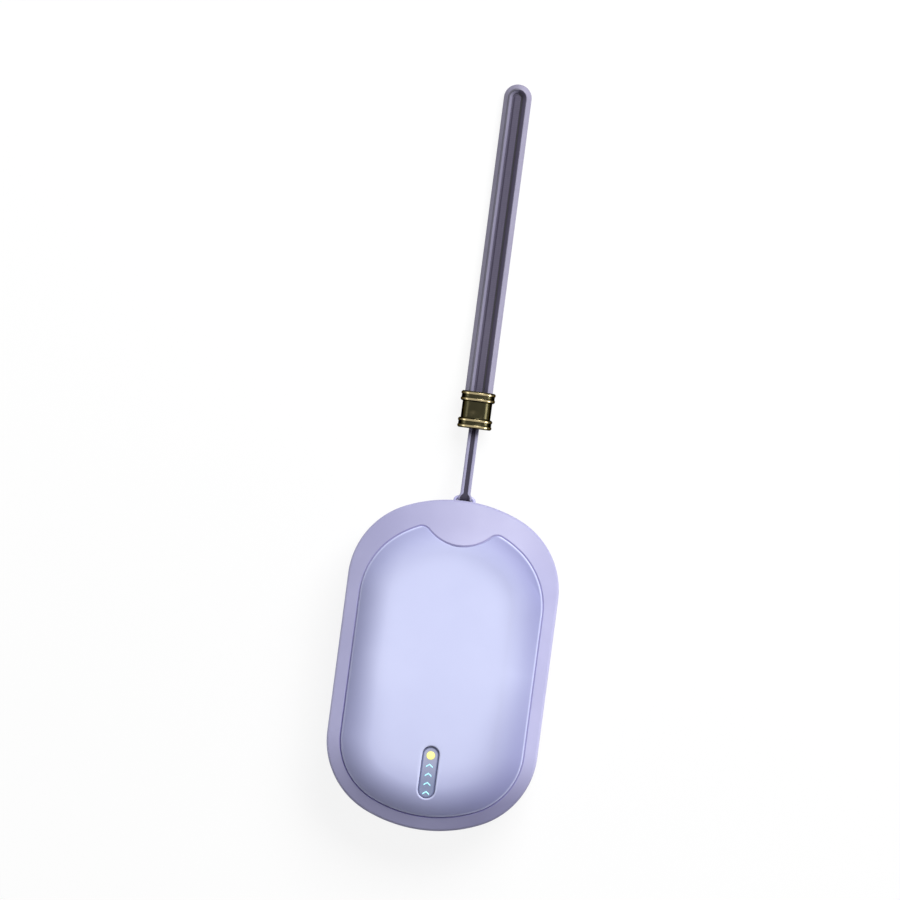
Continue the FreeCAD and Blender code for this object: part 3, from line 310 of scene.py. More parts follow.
def box_ray(angle: Array, half_width: float, half_height: float, corner: float) -> Array:
    """Where rays from the middle meet a rounded box: a flat side where one is met, else the corner's arc.

    Args:
        angle: directions of the rays.
        half_width: from the middle to a side.
        half_height: from the middle to the top.
        corner: corner radius.

    Returns:
        n by 2 points on the box.
    """
    cos, sin = np.abs(np.cos(angle)), np.abs(np.sin(angle))
    side, top = half_width / np.maximum(cos, TINY), half_height / np.maximum(sin, TINY)
    x, y = half_width - corner, half_height - corner
    ahead = x * cos + y * sin
    bend = ahead + np.sqrt(np.maximum(ahead**2 - x**2 - y**2 + corner**2, 0.0))
    length = np.where(side * sin <= y, side, np.where(top * cos <= x, top, bend))
    return length[:, None] * compass(angle)


def rounded(points: Array, radii: Array, closed: bool, steps: int = 5) -> Array:
    """A polyline with its corners turned into arcs of the given radii.

    At a corner that turns by t, the arc starts radius * tan(t / 2) before it, and each of its points is the
    start's arm from the centre, turned by an even share of t.

    Args:
        points: n by 2 corners.
        radii: one radius for each corner, over 0.
        closed: whether the last corner joins the first; else both ends stay sharp.
        steps: points on each arc.

    Returns:
        The new points in order.
    """
    before = unit(points - np.roll(points, 1, axis=0))
    after = np.roll(before, -1, axis=0)
    cross = before[:, 0] * after[:, 1] - before[:, 1] * after[:, 0]
    turn = np.arctan2(cross, np.sum(before * after, axis=1))
    start = points - before * (radii * np.tan(np.abs(turn) / 2))[:, None]
    side = np.sign(turn)[:, None] * np.stack([-before[:, 1], before[:, 0]], axis=1)
    centre = start + side * radii[:, None]
    angle = turn[:, None] * np.linspace(0, 1, steps)
    cos, sin = np.cos(angle), np.sin(angle)
    x, y = np.split(start - centre, 2, axis=1)
    arcs = centre[:, None] + np.stack([cos * x - sin * y, sin * x + cos * y], axis=2)
    if closed:
        return arcs.reshape(-1, 2)
    return np.concatenate([points[:1], arcs[1:-1].reshape(-1, 2), points[-1:]])


def guarded(profile: Array, shortest: float, share: float, gap: float = 0.0) -> Array:
    """A closed profile with a point near both ends of its long runs, where shading and marks then stop.

    Each new point lies at a share of the run, and a gap, from the end.

    Args:
        profile: n by 2 points.
        shortest: length of the shortest run that gets the points.
        share: share of the run between an end and its new point.
        gap: length between them that is added to it.

    Returns:
        The new points in order.
    """
    step = np.roll(profile, -1, axis=0) - profile
    run = np.linalg.norm(step, axis=1, keepdims=True)
    inset = share + gap / run
    shares = np.concatenate([0 * run, inset, 1 - inset], axis=1)
    long = run > shortest
    keep = np.concatenate([run > 0, long, long], axis=1)
    return (profile[:, None] + shares[..., None] * step[:, None])[keep]


# Meshes


def lift(flat: Array, height: float | Array) -> Array:
    """Points seen from above, put at one height or at a height each."""
    return np.concatenate([flat, np.broadcast_to(np.reshape(height, (-1, 1)), (len(flat), 1))], axis=1)


class Skin:
    """Collects grids of points in millimetres and the faces between them, and makes one closed mesh."""

    def __init__(self) -> None:
        """Start with no points and no faces."""
        self.points: list[Array] = []
        self.quads: list[Array] = []
        self.caps: list[list[int]] = []
        self.count = 0

    def add(self, points: Array) -> Array:
        """Store points.

        Args:
            points: a grid of any shape, with three numbers for each point.

        Returns:
            The points' numbers, in the grid's shape.
        """
        shape = points.shape[:-1]
        numbers = np.arange(self.count, self.count + math.prod(shape)).reshape(shape)
        self.points.append(points.reshape(-1, 3))
        self.count += numbers.size
        return numbers

    def weave(self, numbers: Array, wrap: bool = False, leave: Array | None = None) -> None:
        """Put a face in each cell of a grid whose columns close on themselves.

        Args:
            numbers: rows by columns point numbers.
            wrap: whether the last row joins the first.
            leave: cells to leave open, a rows by columns mask, or None.
        """
        below = numbers if wrap else numbers[:-1]
        above = np.roll(numbers, -1, axis=0) if wrap else numbers[1:]
        cells = np.stack([below, np.roll(below, -1, axis=1), np.roll(above, -1, axis=1), above], axis=-1)
        self.quads.append(cells[~leave[:len(below)]] if leave is not None else cells.reshape(-1, 4))

    def rings(self, rings: Sequence[Array], wrap: bool = False) -> Array:
        """Store rings of equal length and weave them in order.

        Args:
            rings: n by 3 points each.
            wrap: whether the last ring joins the first.

        Returns:
            The points' numbers, rings by points.
        """
        numbers = self.add(np.stack(rings))
        self.weave(numbers, wrap)
        return numbers

    def lid(self, ring: Array) -> None:
        """Close a ring with one flat face."""
        self.caps.append(ring.tolist())

    def close(self, numbers: Array) -> None:
        """Close the first and the last ring of a woven grid, each facing away from the other."""
        self.lid(numbers[0, ::-1])
        self.lid(numbers[-1])

    def stack(self) -> Array:
        """All points so far, n by 3, in millimetres."""
        return np.concatenate(self.points)

    def piece(self, name: str, marks: dict[str, Array] | None = None,
              merge: bool = False) -> bpy.types.Object:
        """Make the mesh object, with its faces turned outwards.

        The faces are turned if the volume, a sixth of the sum of the triangles' triple products, is negative.

        Args:
            name: the piece's name.
            marks: numbers for each point, stored as attributes for the finish.
            merge: whether points at the same place become one.

        Returns:
            The new object, at the origin.
        """
        mesh = bpy.data.meshes.new(name)
        mesh.from_pydata((self.stack() * MM).tolist(), [], np.concatenate(self.quads).tolist() + self.caps)
        for mark, values in (marks or {}).items():
            mesh.attributes.new(mark, "FLOAT", "POINT").data.foreach_set("value", values.astype(np.float32))
        if merge:
            joined = bmesh.new()
            joined.from_mesh(mesh)
            bmesh.ops.remove_doubles(joined, verts=joined.verts, dist=MERGE_DISTANCE * MM)
            joined.to_mesh(mesh)
            joined.free()
        mesh.calc_loop_triangles()
        corners = np.empty(len(mesh.loop_triangles) * 3, np.int32)
        mesh.loop_triangles.foreach_get("vertices", corners)
        places = np.empty(len(mesh.vertices) * 3)
        mesh.vertices.foreach_get("co", places)
        a, b, c = np.moveaxis(places.reshape(-1, 3)[corners].reshape(-1, 3, 3), 1, 0)
        if np.sum(a * np.cross(b, c)) < 0:
            mesh.flip_normals()
        mesh.shade_smooth()
        mesh.set_sharp_from_angle(angle=SHARP_ANGLE)
        made = bpy.data.objects.new(name, mesh)
        bpy.context.scene.collection.objects.link(made)
        LOG.info("%s: %d triangles", name, len(mesh.loop_triangles))
        return made


def sweep(skin: Skin, path: Array, sideways: Array, upwards: Array, profile: Array) -> Array:
    """Carry a closed profile along a path and close both ends.

    Each point is the path's point plus the profile's first number sideways and its second upwards.

    Args:
        skin: where the points and faces go.
        path: n by 3 points.
        sideways: n by 3 directions, or one for all.
        upwards: n by 3 directions, or one for all.
        profile: m by 2 points.

    Returns:
        The distance along the path of each stored point.
    """
    sideways, upwards = (np.broadcast_to(d, path.shape)[:, None] for d in (sideways, upwards))
    numbers = skin.add(path[:, None] + sideways * profile[None, :, :1] + upwards * profile[None, :, 1:])
    skin.weave(numbers)
    skin.close(numbers)
    return np.repeat(distances(path), len(profile))


def tangents(path: Array) -> Array:
    """Unit directions along a path."""
    return unit(np.gradient(path, axis=0))


@dataclass(frozen=True)
class Route:
    """A cord's route: the points that its smooth line is drawn towards, in millimetres."""

    points: tuple[Vector, ...]
    order: int = 3
    resolution: int = 24

    def line(self, count: int) -> Array:
        """Evenly spaced points of the NURBS line that has the route's points as its control points.

        Args:
            count: how many points to give.

        Returns:
            count by 3 points in millimetres.
        """
        curve = bpy.data.curves.new("route", "CURVE")
        curve.dimensions = "3D"
        curve.resolution_u = self.resolution
        spline = curve.splines.new("NURBS")
        spline.points.add(len(self.points) - 1)
        spline.points.foreach_set("co", np.insert(np.array(self.points), 3, 1.0, axis=1).ravel())
        spline.order_u = self.order
        spline.use_endpoint_u = True
        holder = bpy.data.objects.new("route", curve)
        traced = bpy.data.meshes.new_from_object(holder)
        raw = np.empty(len(traced.vertices) * 3)
        traced.vertices.foreach_get("co", raw)
        raw = raw.reshape(-1, 3)
        bpy.data.objects.remove(holder)
        bpy.data.curves.remove(curve)
        bpy.data.meshes.remove(traced)
        reach = distances(raw)
        even = np.linspace(0.0, reach[-1], count)
        return np.stack([np.interp(even, reach, raw[:, axis]) for axis in range(3)], axis=1)


# Shader expressions


class Signal:
    """A shader socket that takes part in sums as a number does; each sum adds a Math node."""

    def __init__(self, graph: "Graph", socket: bpy.types.NodeSocket) -> None:
        """Wrap an output socket of a graph."""
        self.graph = graph
        self.socket = socket

    def math(self, operation: str, *others: Any) -> "Signal":
        """A Math node with this signal as its first value."""
        values = dict(enumerate((self, *others)))
        return self.graph.node("ShaderNodeMath", {"operation": operation}, values)

    def _swapped(self, operation: str, other: Any) -> "Signal":
        """A Math node with this signal as its second value."""
        return self.graph.node("ShaderNodeMath", {"operation": operation}, {0: other, 1: self})

    def __add__(self, other: Any) -> "Signal":
        """Sum."""
        return self.math("ADD", other)

    def __radd__(self, other: Any) -> "Signal":
        """Sum with a number on the left."""
        return self._swapped("ADD", other)

    def __sub__(self, other: Any) -> "Signal":
        """Difference."""
        return self.math("SUBTRACT", other)

    def __rsub__(self, other: Any) -> "Signal":
        """Difference from a number on the left."""
        return self._swapped("SUBTRACT", other)

    def __mul__(self, other: Any) -> "Signal":
        """Product."""
        return self.math("MULTIPLY", other)

    def __rmul__(self, other: Any) -> "Signal":
        """Product with a number on the left."""
        return self._swapped("MULTIPLY", other)

    def __pow__(self, other: Any) -> "Signal":
        """Power."""
        return self.math("POWER", other)

    def __abs__(self) -> "Signal":
        """Size without its sign."""
        return self.math("ABSOLUTE")

    def between(self, low: float, high: float) -> "Signal":
        """A smooth step from 0 at low to 1 at high."""
        return self.graph.node("ShaderNodeMapRange", {"interpolation_type": "SMOOTHSTEP"},
                               {"Value": self, "From Min": low, "From Max": high})


class Graph:
    """The node tree of one material."""

    def __init__(self, tree: bpy.types.NodeTree) -> None:
        """Empty the tree, ready for new nodes."""
        self.tree = tree
        tree.nodes.clear()

    def node(self, kind: str, settings: dict[str, Any] | None = None,
             inputs: dict[int | str, Any] | None = None, output: int | str = 0) -> Signal:
        """Add a node of any type.

        Args:
            kind: the node's type.
            settings: its settings, set before its sockets.
            inputs: a value or a signal for each named or numbered socket.
            output: the output that is wanted.

        Returns:
            The wanted output.
        """
        made = self.tree.nodes.new(kind)
        for name, setting in (settings or {}).items():
            setattr(made, name, setting)
        for name, given in (inputs or {}).items():
            socket = made.inputs[name]
            if isinstance(given, Signal):
                self.tree.links.new(given.socket, socket)
            elif socket.type == "RGBA":
                socket.default_value = (*given, 1.0)
            else:
                socket.default_value = given
        return Signal(self, made.outputs[output])

    def place(self) -> Signal:
        """The point in the shared frame, in metres."""
        return self.node("ShaderNodeTexCoord", output="Object")

    def axis(self, name: str) -> Signal:
        """One coordinate of the point: X, Y or Z."""
        return self.node("ShaderNodeSeparateXYZ", inputs={0: self.place()}, output=name)

    def mark(self, name: str) -> Signal:
        """A number that is stored on the mesh."""
        return self.node("ShaderNodeAttribute", {"attribute_name": name}, output="Fac")

    def stretched(self, scale: Vector) -> Signal:
        """The point with each axis scaled by itself."""
        return self.node("ShaderNodeVectorMath", {"operation": "MULTIPLY"}, {0: self.place(), 1: scale})

    def noise(self, scale: float, detail: float = 2.0, place: Signal | None = None) -> Signal:
        """Soft noise about 0.5; scale counts its features in a metre."""
        return self.node("ShaderNodeTexNoise", None,
                         {"Vector": place or self.place(), "Scale": scale, "Detail": detail})

    def blend(self, share: Signal, first: Colour | Signal, second: Colour | Signal) -> Signal:
        """A colour between two others."""
        return self.node("ShaderNodeMix", {"data_type": "RGBA"}, {0: share, 6: first, 7: second}, output=2)

    def bump(self, height: Signal, strength: float, depth: float) -> Signal:
        """A bumped normal; depth is the relief in metres."""
        return self.node("ShaderNodeBump", None, {"Strength": strength, "Distance": depth, "Height": height})

    def surface(self, sockets: dict[str, Any]) -> None:
        """Finish with a Principled shader that has these values and links."""
        self.end(self.node("ShaderNodeBsdfPrincipled", None, sockets))

    def end(self, shader: Signal, kind: str = "ShaderNodeOutputMaterial") -> None:
        """Link a shader to the material's or the world's output."""
        made = self.tree.nodes.new(kind)
        self.tree.links.new(shader.socket, made.inputs["Surface"])


# Finishes


@dataclass(frozen=True)
class Finish:
    """A named finish; each kind says in paint() how its surface is made."""

    name: str

    def paint(self, graph: Graph) -> None:
        """Add the finish's nodes to an empty material."""
        raise NotImplementedError

    def material(self) -> bpy.types.Material:
        """The finish's material, which is made once.

        Returns:
            The material, new or already there.
        """
        made = bpy.data.materials.get(self.name)
        if made is None:
            made = bpy.data.materials.new(self.name)
            made.use_nodes = True
            self.paint(Graph(made.node_tree))
        return made

    def dress(self, piece: bpy.types.Object) -> None:
        """Give a piece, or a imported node, this finish alone."""
        piece.data.materials.clear()
        piece.data.materials.append(self.material())


@dataclass(frozen=True)
class MouldedPlastic(Finish):
    """Moulded plastic: a faintly clouded tint, a fine eroded grain and a satin gloss that varies a little."""

    tint: Colour
    deep: Colour
    rough: float = 0.42
    grain: float = 0.012
    grain_scale: float = 4200.0
    gloss: float = 0.5
    cloud_scale: float = 55.0
    gloss_scale: float = 140.0

    def colour(self, graph: Graph) -> Colour | Signal:
        """The tint, clouded towards the deeper colour."""
        return graph.blend(graph.noise(self.cloud_scale, 3.0).between(0.3, 0.7), self.deep, self.tint)

    def paint(self, graph: Graph) -> None:
        """Add the clouded colour, and noise that drives the roughness and, as grain, the relief.

        Args:
            graph: the empty material's graph.
        """
        grain = graph.noise(self.grain_scale, 3.0)
        cloud = graph.noise(self.gloss_scale)
        graph.surface({
            "Base Color": self.colour(graph),
            "Roughness": self.rough + (grain - 0.5) * 0.14 + (cloud - 0.5) * 0.1,
            "Specular IOR Level": self.gloss,
            "Normal": graph.bump(grain, 0.4, self.grain * MM),
        })


@dataclass(frozen=True, kw_only=True)
class ShadePaintedPlastic(MouldedPlastic):
    """Moulded plastic with painted shade: darker towards an edge, and darker still along the seam."""

    # edge and seam are colours of painted shade: towards an edge, and in the groove beside the front cover.
    edge: Colour
    seam: Colour = (0.12, 0.105, 0.30)

    def colour(self, graph: Graph) -> Signal:
        """The clouded tint, darkened by marks on the mesh to the edge colour, then the seam colour: painted
        shade.
        """
        shaded_tint = graph.blend(graph.mark("painted_shade"), super().colour(graph), self.edge)
        return graph.blend(graph.mark("seam"), shaded_tint, self.seam)


@dataclass(frozen=True, kw_only=True)
class LinedPlastic(MouldedPlastic):
    """Moulded plastic of two colours, which meet on a line along a strap, with a darker line of painted
    shade.
    """

    inner: Colour
    line: float
    # The crease colour is painted shade along the strap's left leg.
    crease: Colour
    blur: float = 0.05

    def colour(self, graph: Graph) -> Signal:
        """The clouded tint outside the line and the inner colour within it, with painted shade from a mark on
        the mesh.

        Args:
            graph: the material's graph.

        Returns:
            The strap's colour.
        """
        outside = graph.mark("across").between(self.line - self.blur, self.line + self.blur)
        lined = graph.blend(outside, self.inner, super().colour(graph))
        return graph.blend(graph.mark("crease"), lined, self.crease)


@dataclass(frozen=True, kw_only=True)
class ShadeBorderedWindow(MouldedPlastic):
    """A smoked window, paler towards its upper end, with a border of painted shade that follows its round
    ends.
    """

    # The border colour is painted shade round the edge of the recessed window.
    border: Colour
    middle: float
    half_straight: float
    reach: tuple[float, float]

    def colour(self, graph: Graph) -> Signal:
        """The tint along the window, with a border of painted shade where the distance from the middle line
        is greatest.

        Args:
            graph: the material's graph.

        Returns:
            The window's colour.
        """
        up, half = graph.axis("Y") - self.middle * MM, self.half_straight * MM
        past = (abs(up) - half).math("MAXIMUM", 0.0)
        far = (graph.axis("X") ** 2.0 + past ** 2.0) ** 0.5
        glass = graph.blend(up.between(-half, half), self.deep, self.tint)
        return graph.blend(far.between(*metres(self.reach)), glass, self.border)


@dataclass(frozen=True)
class LitInsert(Finish):
    """A lit plastic insert, brightest in its middle."""

    core: Colour
    rim: Colour
    power: float
    dimmed: float = 0.5
    mottle_scale: float = 1500.0

    def paint(self, graph: Graph) -> None:
        """Add a mottled glow between the two colours, dimmed where the mesh says so.

        Args:
            graph: the empty material's graph.
        """
        spread = graph.noise(self.mottle_scale, 2.0)
        glow = graph.blend(spread.between(0.25, 0.6), self.rim, self.core)
        colour = graph.blend(graph.mark("dim"), glow, scaled(self.rim, self.dimmed))
        graph.surface({"Base Color": colour, "Emission Color": colour, "Emission Strength": self.power,
                       "Roughness": 0.22 + spread * 0.16})


@dataclass(frozen=True)
class TurnedBrass(Finish):
    """Aged brass off a lathe: dark patina, worn bright on its ridges, with fine lines round the axis."""

    worn: Colour
    patina: Colour
    axis_height: float
    ridge: tuple[float, float]
    # Where the painted shade at both sides starts and ends.
    sides: tuple[float, float]
    tinge: Colour = (0.25, 0.22, 0.15)
    turning: Vector = (60.0, 9000.0, 60.0)
    blotch_scale: float = 420.0
    # How dark the painted shade at both sides is.
    flank_shade: float = 0.3
    relief: float = 0.02

    def paint(self, graph: Graph) -> None:
        """Wear follows the radius from the axis. Both sides are darker than the patina and less worn: painted
        shade.

        The turning lines are noise that changes quickly along the axis and slowly round it.

        Args:
            graph: the empty material's graph.
        """
        high = graph.axis("Z") - self.axis_height * MM
        radius = (graph.axis("X") ** 2.0 + high ** 2.0) ** 0.5
        lines = graph.noise(1.0, 2.0, graph.stretched(self.turning))
        blotch = graph.noise(self.blotch_scale, 3.0)
        face = 1.0 - abs(graph.axis("X")).between(*metres(self.sides))
        wear = radius.between(*metres(self.ridge)) * 0.8 + blotch.between(0.5, 0.85) * 0.12
        # Painted shade: the patina darkens and the wear fades towards both sides.
        patina_and_shade = graph.blend(face, scaled(self.patina, self.flank_shade), self.patina)
        colour = graph.blend(wear * (face * 0.75 + 0.25), patina_and_shade, self.worn)
        graph.surface({"Base Color": colour, "Metallic": 1.0, "Specular Tint": self.tinge,
                       "Roughness": 0.15 + lines * 0.08 + blotch * 0.015,
                       "Normal": graph.bump(lines, 0.08, self.relief * MM)})


@dataclass(frozen=True)
class TwoToneTape(Finish):
    """Woven tape with pale selvedges and a dark middle, ribbed across its length."""

    selvedge: Colour
    middle: Colour
    half_middle: float
    rib: float
    blur: float = 0.08
    thread_scale: float = 2600.0
    relief: float = 0.04

    def paint(self, graph: Graph) -> None:
        """The tone changes with the distance from the tape's middle line; ribs are a sine along it.

        Args:
            graph: the empty material's graph.
        """
        edge = abs(graph.mark("across")).between(self.half_middle - self.blur, self.half_middle + self.blur)
        rib = (graph.mark("along") * (math.tau / self.rib)).math("SINE") * 0.5 + 0.5
        thread = graph.noise(self.thread_scale, 2.0)
        shade = thread * 0.6 + rib * 0.4
        pale = graph.blend(shade, scaled(self.selvedge, 0.86), self.selvedge)
        dark = graph.blend(shade, scaled(self.middle, 0.78), self.middle)
        graph.surface({"Base Color": graph.blend(edge, dark, pale), "Roughness": 0.55 + thread * 0.25,
                       "Specular IOR Level": 0.2, "Normal": graph.bump(shade, 0.5, self.relief * MM)})


@dataclass(frozen=True)
class Twill(Finish):
    """Dark twill: slanted ridges along the strap, uneven thread colour, and a painted shadow along its foot.
    """

    tint: Colour
    deep: Colour
    pitch: float
    thread_scale: float = 3200.0
    shadow_dark: float = 0.15
    relief: float = 0.05

    def paint(self, graph: Graph) -> None:
        """Ridges are a sine of the distance along plus the height, so that they slant; a painted shadow
        darkens the foot.

        Args:
            graph: the empty material's graph.
        """
        phase = (graph.mark("along") + graph.axis("Z") * (1 / MM)) * (math.tau / self.pitch)
        ridge = phase.math("SINE") * 0.5 + 0.5
        thread = graph.noise(self.thread_scale, 2.0)
        share = ridge * 0.5 + thread * 0.5
        woven = graph.blend(share, self.deep, self.tint)
        # Painted shadow: a mark darkens the lining's foot beside the right leg.
        colour = graph.blend(graph.mark("foot"), woven, scaled(self.deep, self.shadow_dark))
        graph.surface({"Base Color": colour, "Roughness": 0.6 + thread * 0.25, "Sheen Weight": 0.1,
                       "Normal": graph.bump(share, 0.5, self.relief * MM)})


@dataclass(frozen=True)
class BrushedMetal(Finish):
    """Sheet metal with fine lines along one axis and faint blotches."""

    tint: Colour
    rough: float = 0.3
    stretch: Vector = (60.0, 4000.0, 4000.0)
    blotch_scale: float = 300.0
    relief: float = 0.01

    def paint(self, graph: Graph) -> None:
        """The lines are noise drawn out along the axis that is scaled least.

        Args:
            graph: the empty material's graph.
        """
        lines = graph.noise(1.0, 3.0, graph.stretched(self.stretch))
        blotch = graph.noise(self.blotch_scale)
        colour = graph.blend(lines * 0.6 + blotch * 0.4, scaled(self.tint, 0.75), self.tint)
        graph.surface({"Base Color": colour, "Metallic": 1.0, "Roughness": self.rough + (lines - 0.5) * 0.2,
                       "Normal": graph.bump(lines, 0.2, self.relief * MM)})


@dataclass(frozen=True)
class BoardMask(Finish):
    """Solder mask over copper tracks, which show as slightly raised paler lines."""

    mask: Colour
    track: Colour
    pitch: float = 1.3
    bend: float = 4.0
    bend_scale: float = 120.0
    fleck_scale: float = 2500.0
    relief: float = 0.03

    def paint(self, graph: Graph) -> None:
        """Tracks are where a sine of X, bent by noise, passes a level.

        Args:
            graph: the empty material's graph.
        """
        bend = graph.noise(self.bend_scale) * (self.bend * MM)
        wave = ((graph.axis("X") + bend) * (math.tau / (self.pitch * MM))).math("SINE")
        track = wave.between(0.45, 0.6)
        fleck = graph.noise(self.fleck_scale)
        graph.surface({"Base Color": graph.blend(track, self.mask, self.track),
                       "Roughness": 0.3 + fleck * 0.2, "Normal": graph.bump(track, 0.4, self.relief * MM)})


@dataclass(frozen=True)
class CreasedFoil(Finish):
    """Foil or film with soft creases."""

    tint: Colour
    metal: float
    rough: float = 0.3
    crease: float = 260.0
    relief: float = 0.1

    def paint(self, graph: Graph) -> None:
        """Creases are ridged noise: its distance from the middle value.

        Args:
            graph: the empty material's graph.
        """
        fold = abs(graph.noise(self.crease, 3.0) - 0.5) * 2.0
        colour = graph.blend(fold.between(0.0, 0.5), scaled(self.tint, 0.8), self.tint)
        graph.surface({"Base Color": colour, "Metallic": self.metal, "Roughness": self.rough + fold * 0.2,
                       "Normal": graph.bump(fold, 0.35, self.relief * MM)})


# The edge colours of the frame and the covers are painted shade, laid on by their meshes' marks.
SHELL = ShadePaintedPlastic("lavender_frame", (0.42, 0.415, 0.635), (0.395, 0.39, 0.605), rough=0.48,
                     edge=(0.22, 0.215, 0.362))
COVER = ShadePaintedPlastic("lavender_cover", (0.605, 0.635, 0.885), (0.585, 0.615, 0.865), rough=0.6, gloss=0.3,
                     edge=(0.20, 0.205, 0.405))
# The brass is darker at both sides: painted shade.
BRASS = TurnedBrass("aged_brass", (0.52, 0.43, 0.24), (0.042, 0.038, 0.020), 5.45, (5.33, 5.41), (3.5, 4.4))
TAPE = TwoToneTape("tether_tape", (0.285, 0.275, 0.40), (0.034, 0.029, 0.049), 0.65, 0.55)
# The strap's last colour is painted shade along its left leg.
STRAP = LinedPlastic("strap_lavender", (0.245, 0.230, 0.327), (0.225, 0.210, 0.302), rough=0.5, grain=0.02,
                     inner=(0.097, 0.086, 0.135), line=0.6, crease=(0.062, 0.058, 0.083))
LINING = Twill("strap_plum", (0.072, 0.062, 0.104), (0.046, 0.039, 0.070), 0.7)
DOT = LitInsert("yellow_light", (1.0, 0.96, 0.31), (0.93, 0.87, 0.27), 0.5)
CHEVRON = LitInsert("cyan_light", (0.45, 0.9, 1.0), (0.33, 0.78, 0.9), 0.45)


# Sub-assemblies


def settle(piece: bpy.types.Object, finish: Finish, body: Body, slot: str, *nodes: str) -> bpy.types.Object:
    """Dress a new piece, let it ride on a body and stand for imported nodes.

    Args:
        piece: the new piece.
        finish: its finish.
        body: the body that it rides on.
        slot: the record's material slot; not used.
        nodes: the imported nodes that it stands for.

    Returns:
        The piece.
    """
    finish.dress(piece)
    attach(piece, body.value)
    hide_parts(*nodes)
    return piece


@dataclass(frozen=True)
class WallOpening:
    """An opening in an end wall: half sizes, corner, depth, edge round, and the patch of wall round it."""

    end: End
    half_width: float
    half_height: float
    corner: float
    depth: float
    through: bool
    edge: float = 0.3
    edge_rows: int = 5
    margin: float = 1.1


@dataclass(frozen=True)
class FrameColumns:
    """The frame's columns, each from a point of the front opening to the nearest point of the case's outline.

    The fields are the opening's points and normals, the outline's points and normals, and the distance
    between the opening's lip and the outline.
    """

    hole: Array
    out: Array
    foot: Array
    normal: Array
    depth: Array

    def below(self, depths: float | Array, height: float | Array) -> Array:
        """A ring inside the outline: its points less a depth, or a depth each, times the normals."""
        return lift(self.foot - np.reshape(depths, (-1, 1)) * self.normal, height)


@dataclass(frozen=True)
class WallGrid:
    """The frame's grid of point numbers, its cells to leave open, and where its wall and its hollow lie.

    The heights of the wall's and the hollow's rows are listed from the front down. The wall's rows follow
    that order, and the hollow's go the other way.
    """

    numbers: Array
    leave: Array
    foot: Array
    levels: Array
    wall_start: int
    inside: Array
    hollow_start: int

    def patch(self, rows: Array, columns: Array) -> Array:
        """Leave open the cells inside a patch of the grid.

        Args:
            rows: the patch's rows in order.
            columns: the patch's columns in order.

        Returns:
            The numbers of the points round the patch.
        """
        self.leave[rows.min():rows.max(), columns[0]:columns[-1]] = True
        return np.concatenate([self.numbers[rows[0], columns[:-1]], self.numbers[rows[:-1], columns[-1]],
                               self.numbers[rows[-1], columns[:0:-1]], self.numbers[rows[:0:-1], columns[0]]])


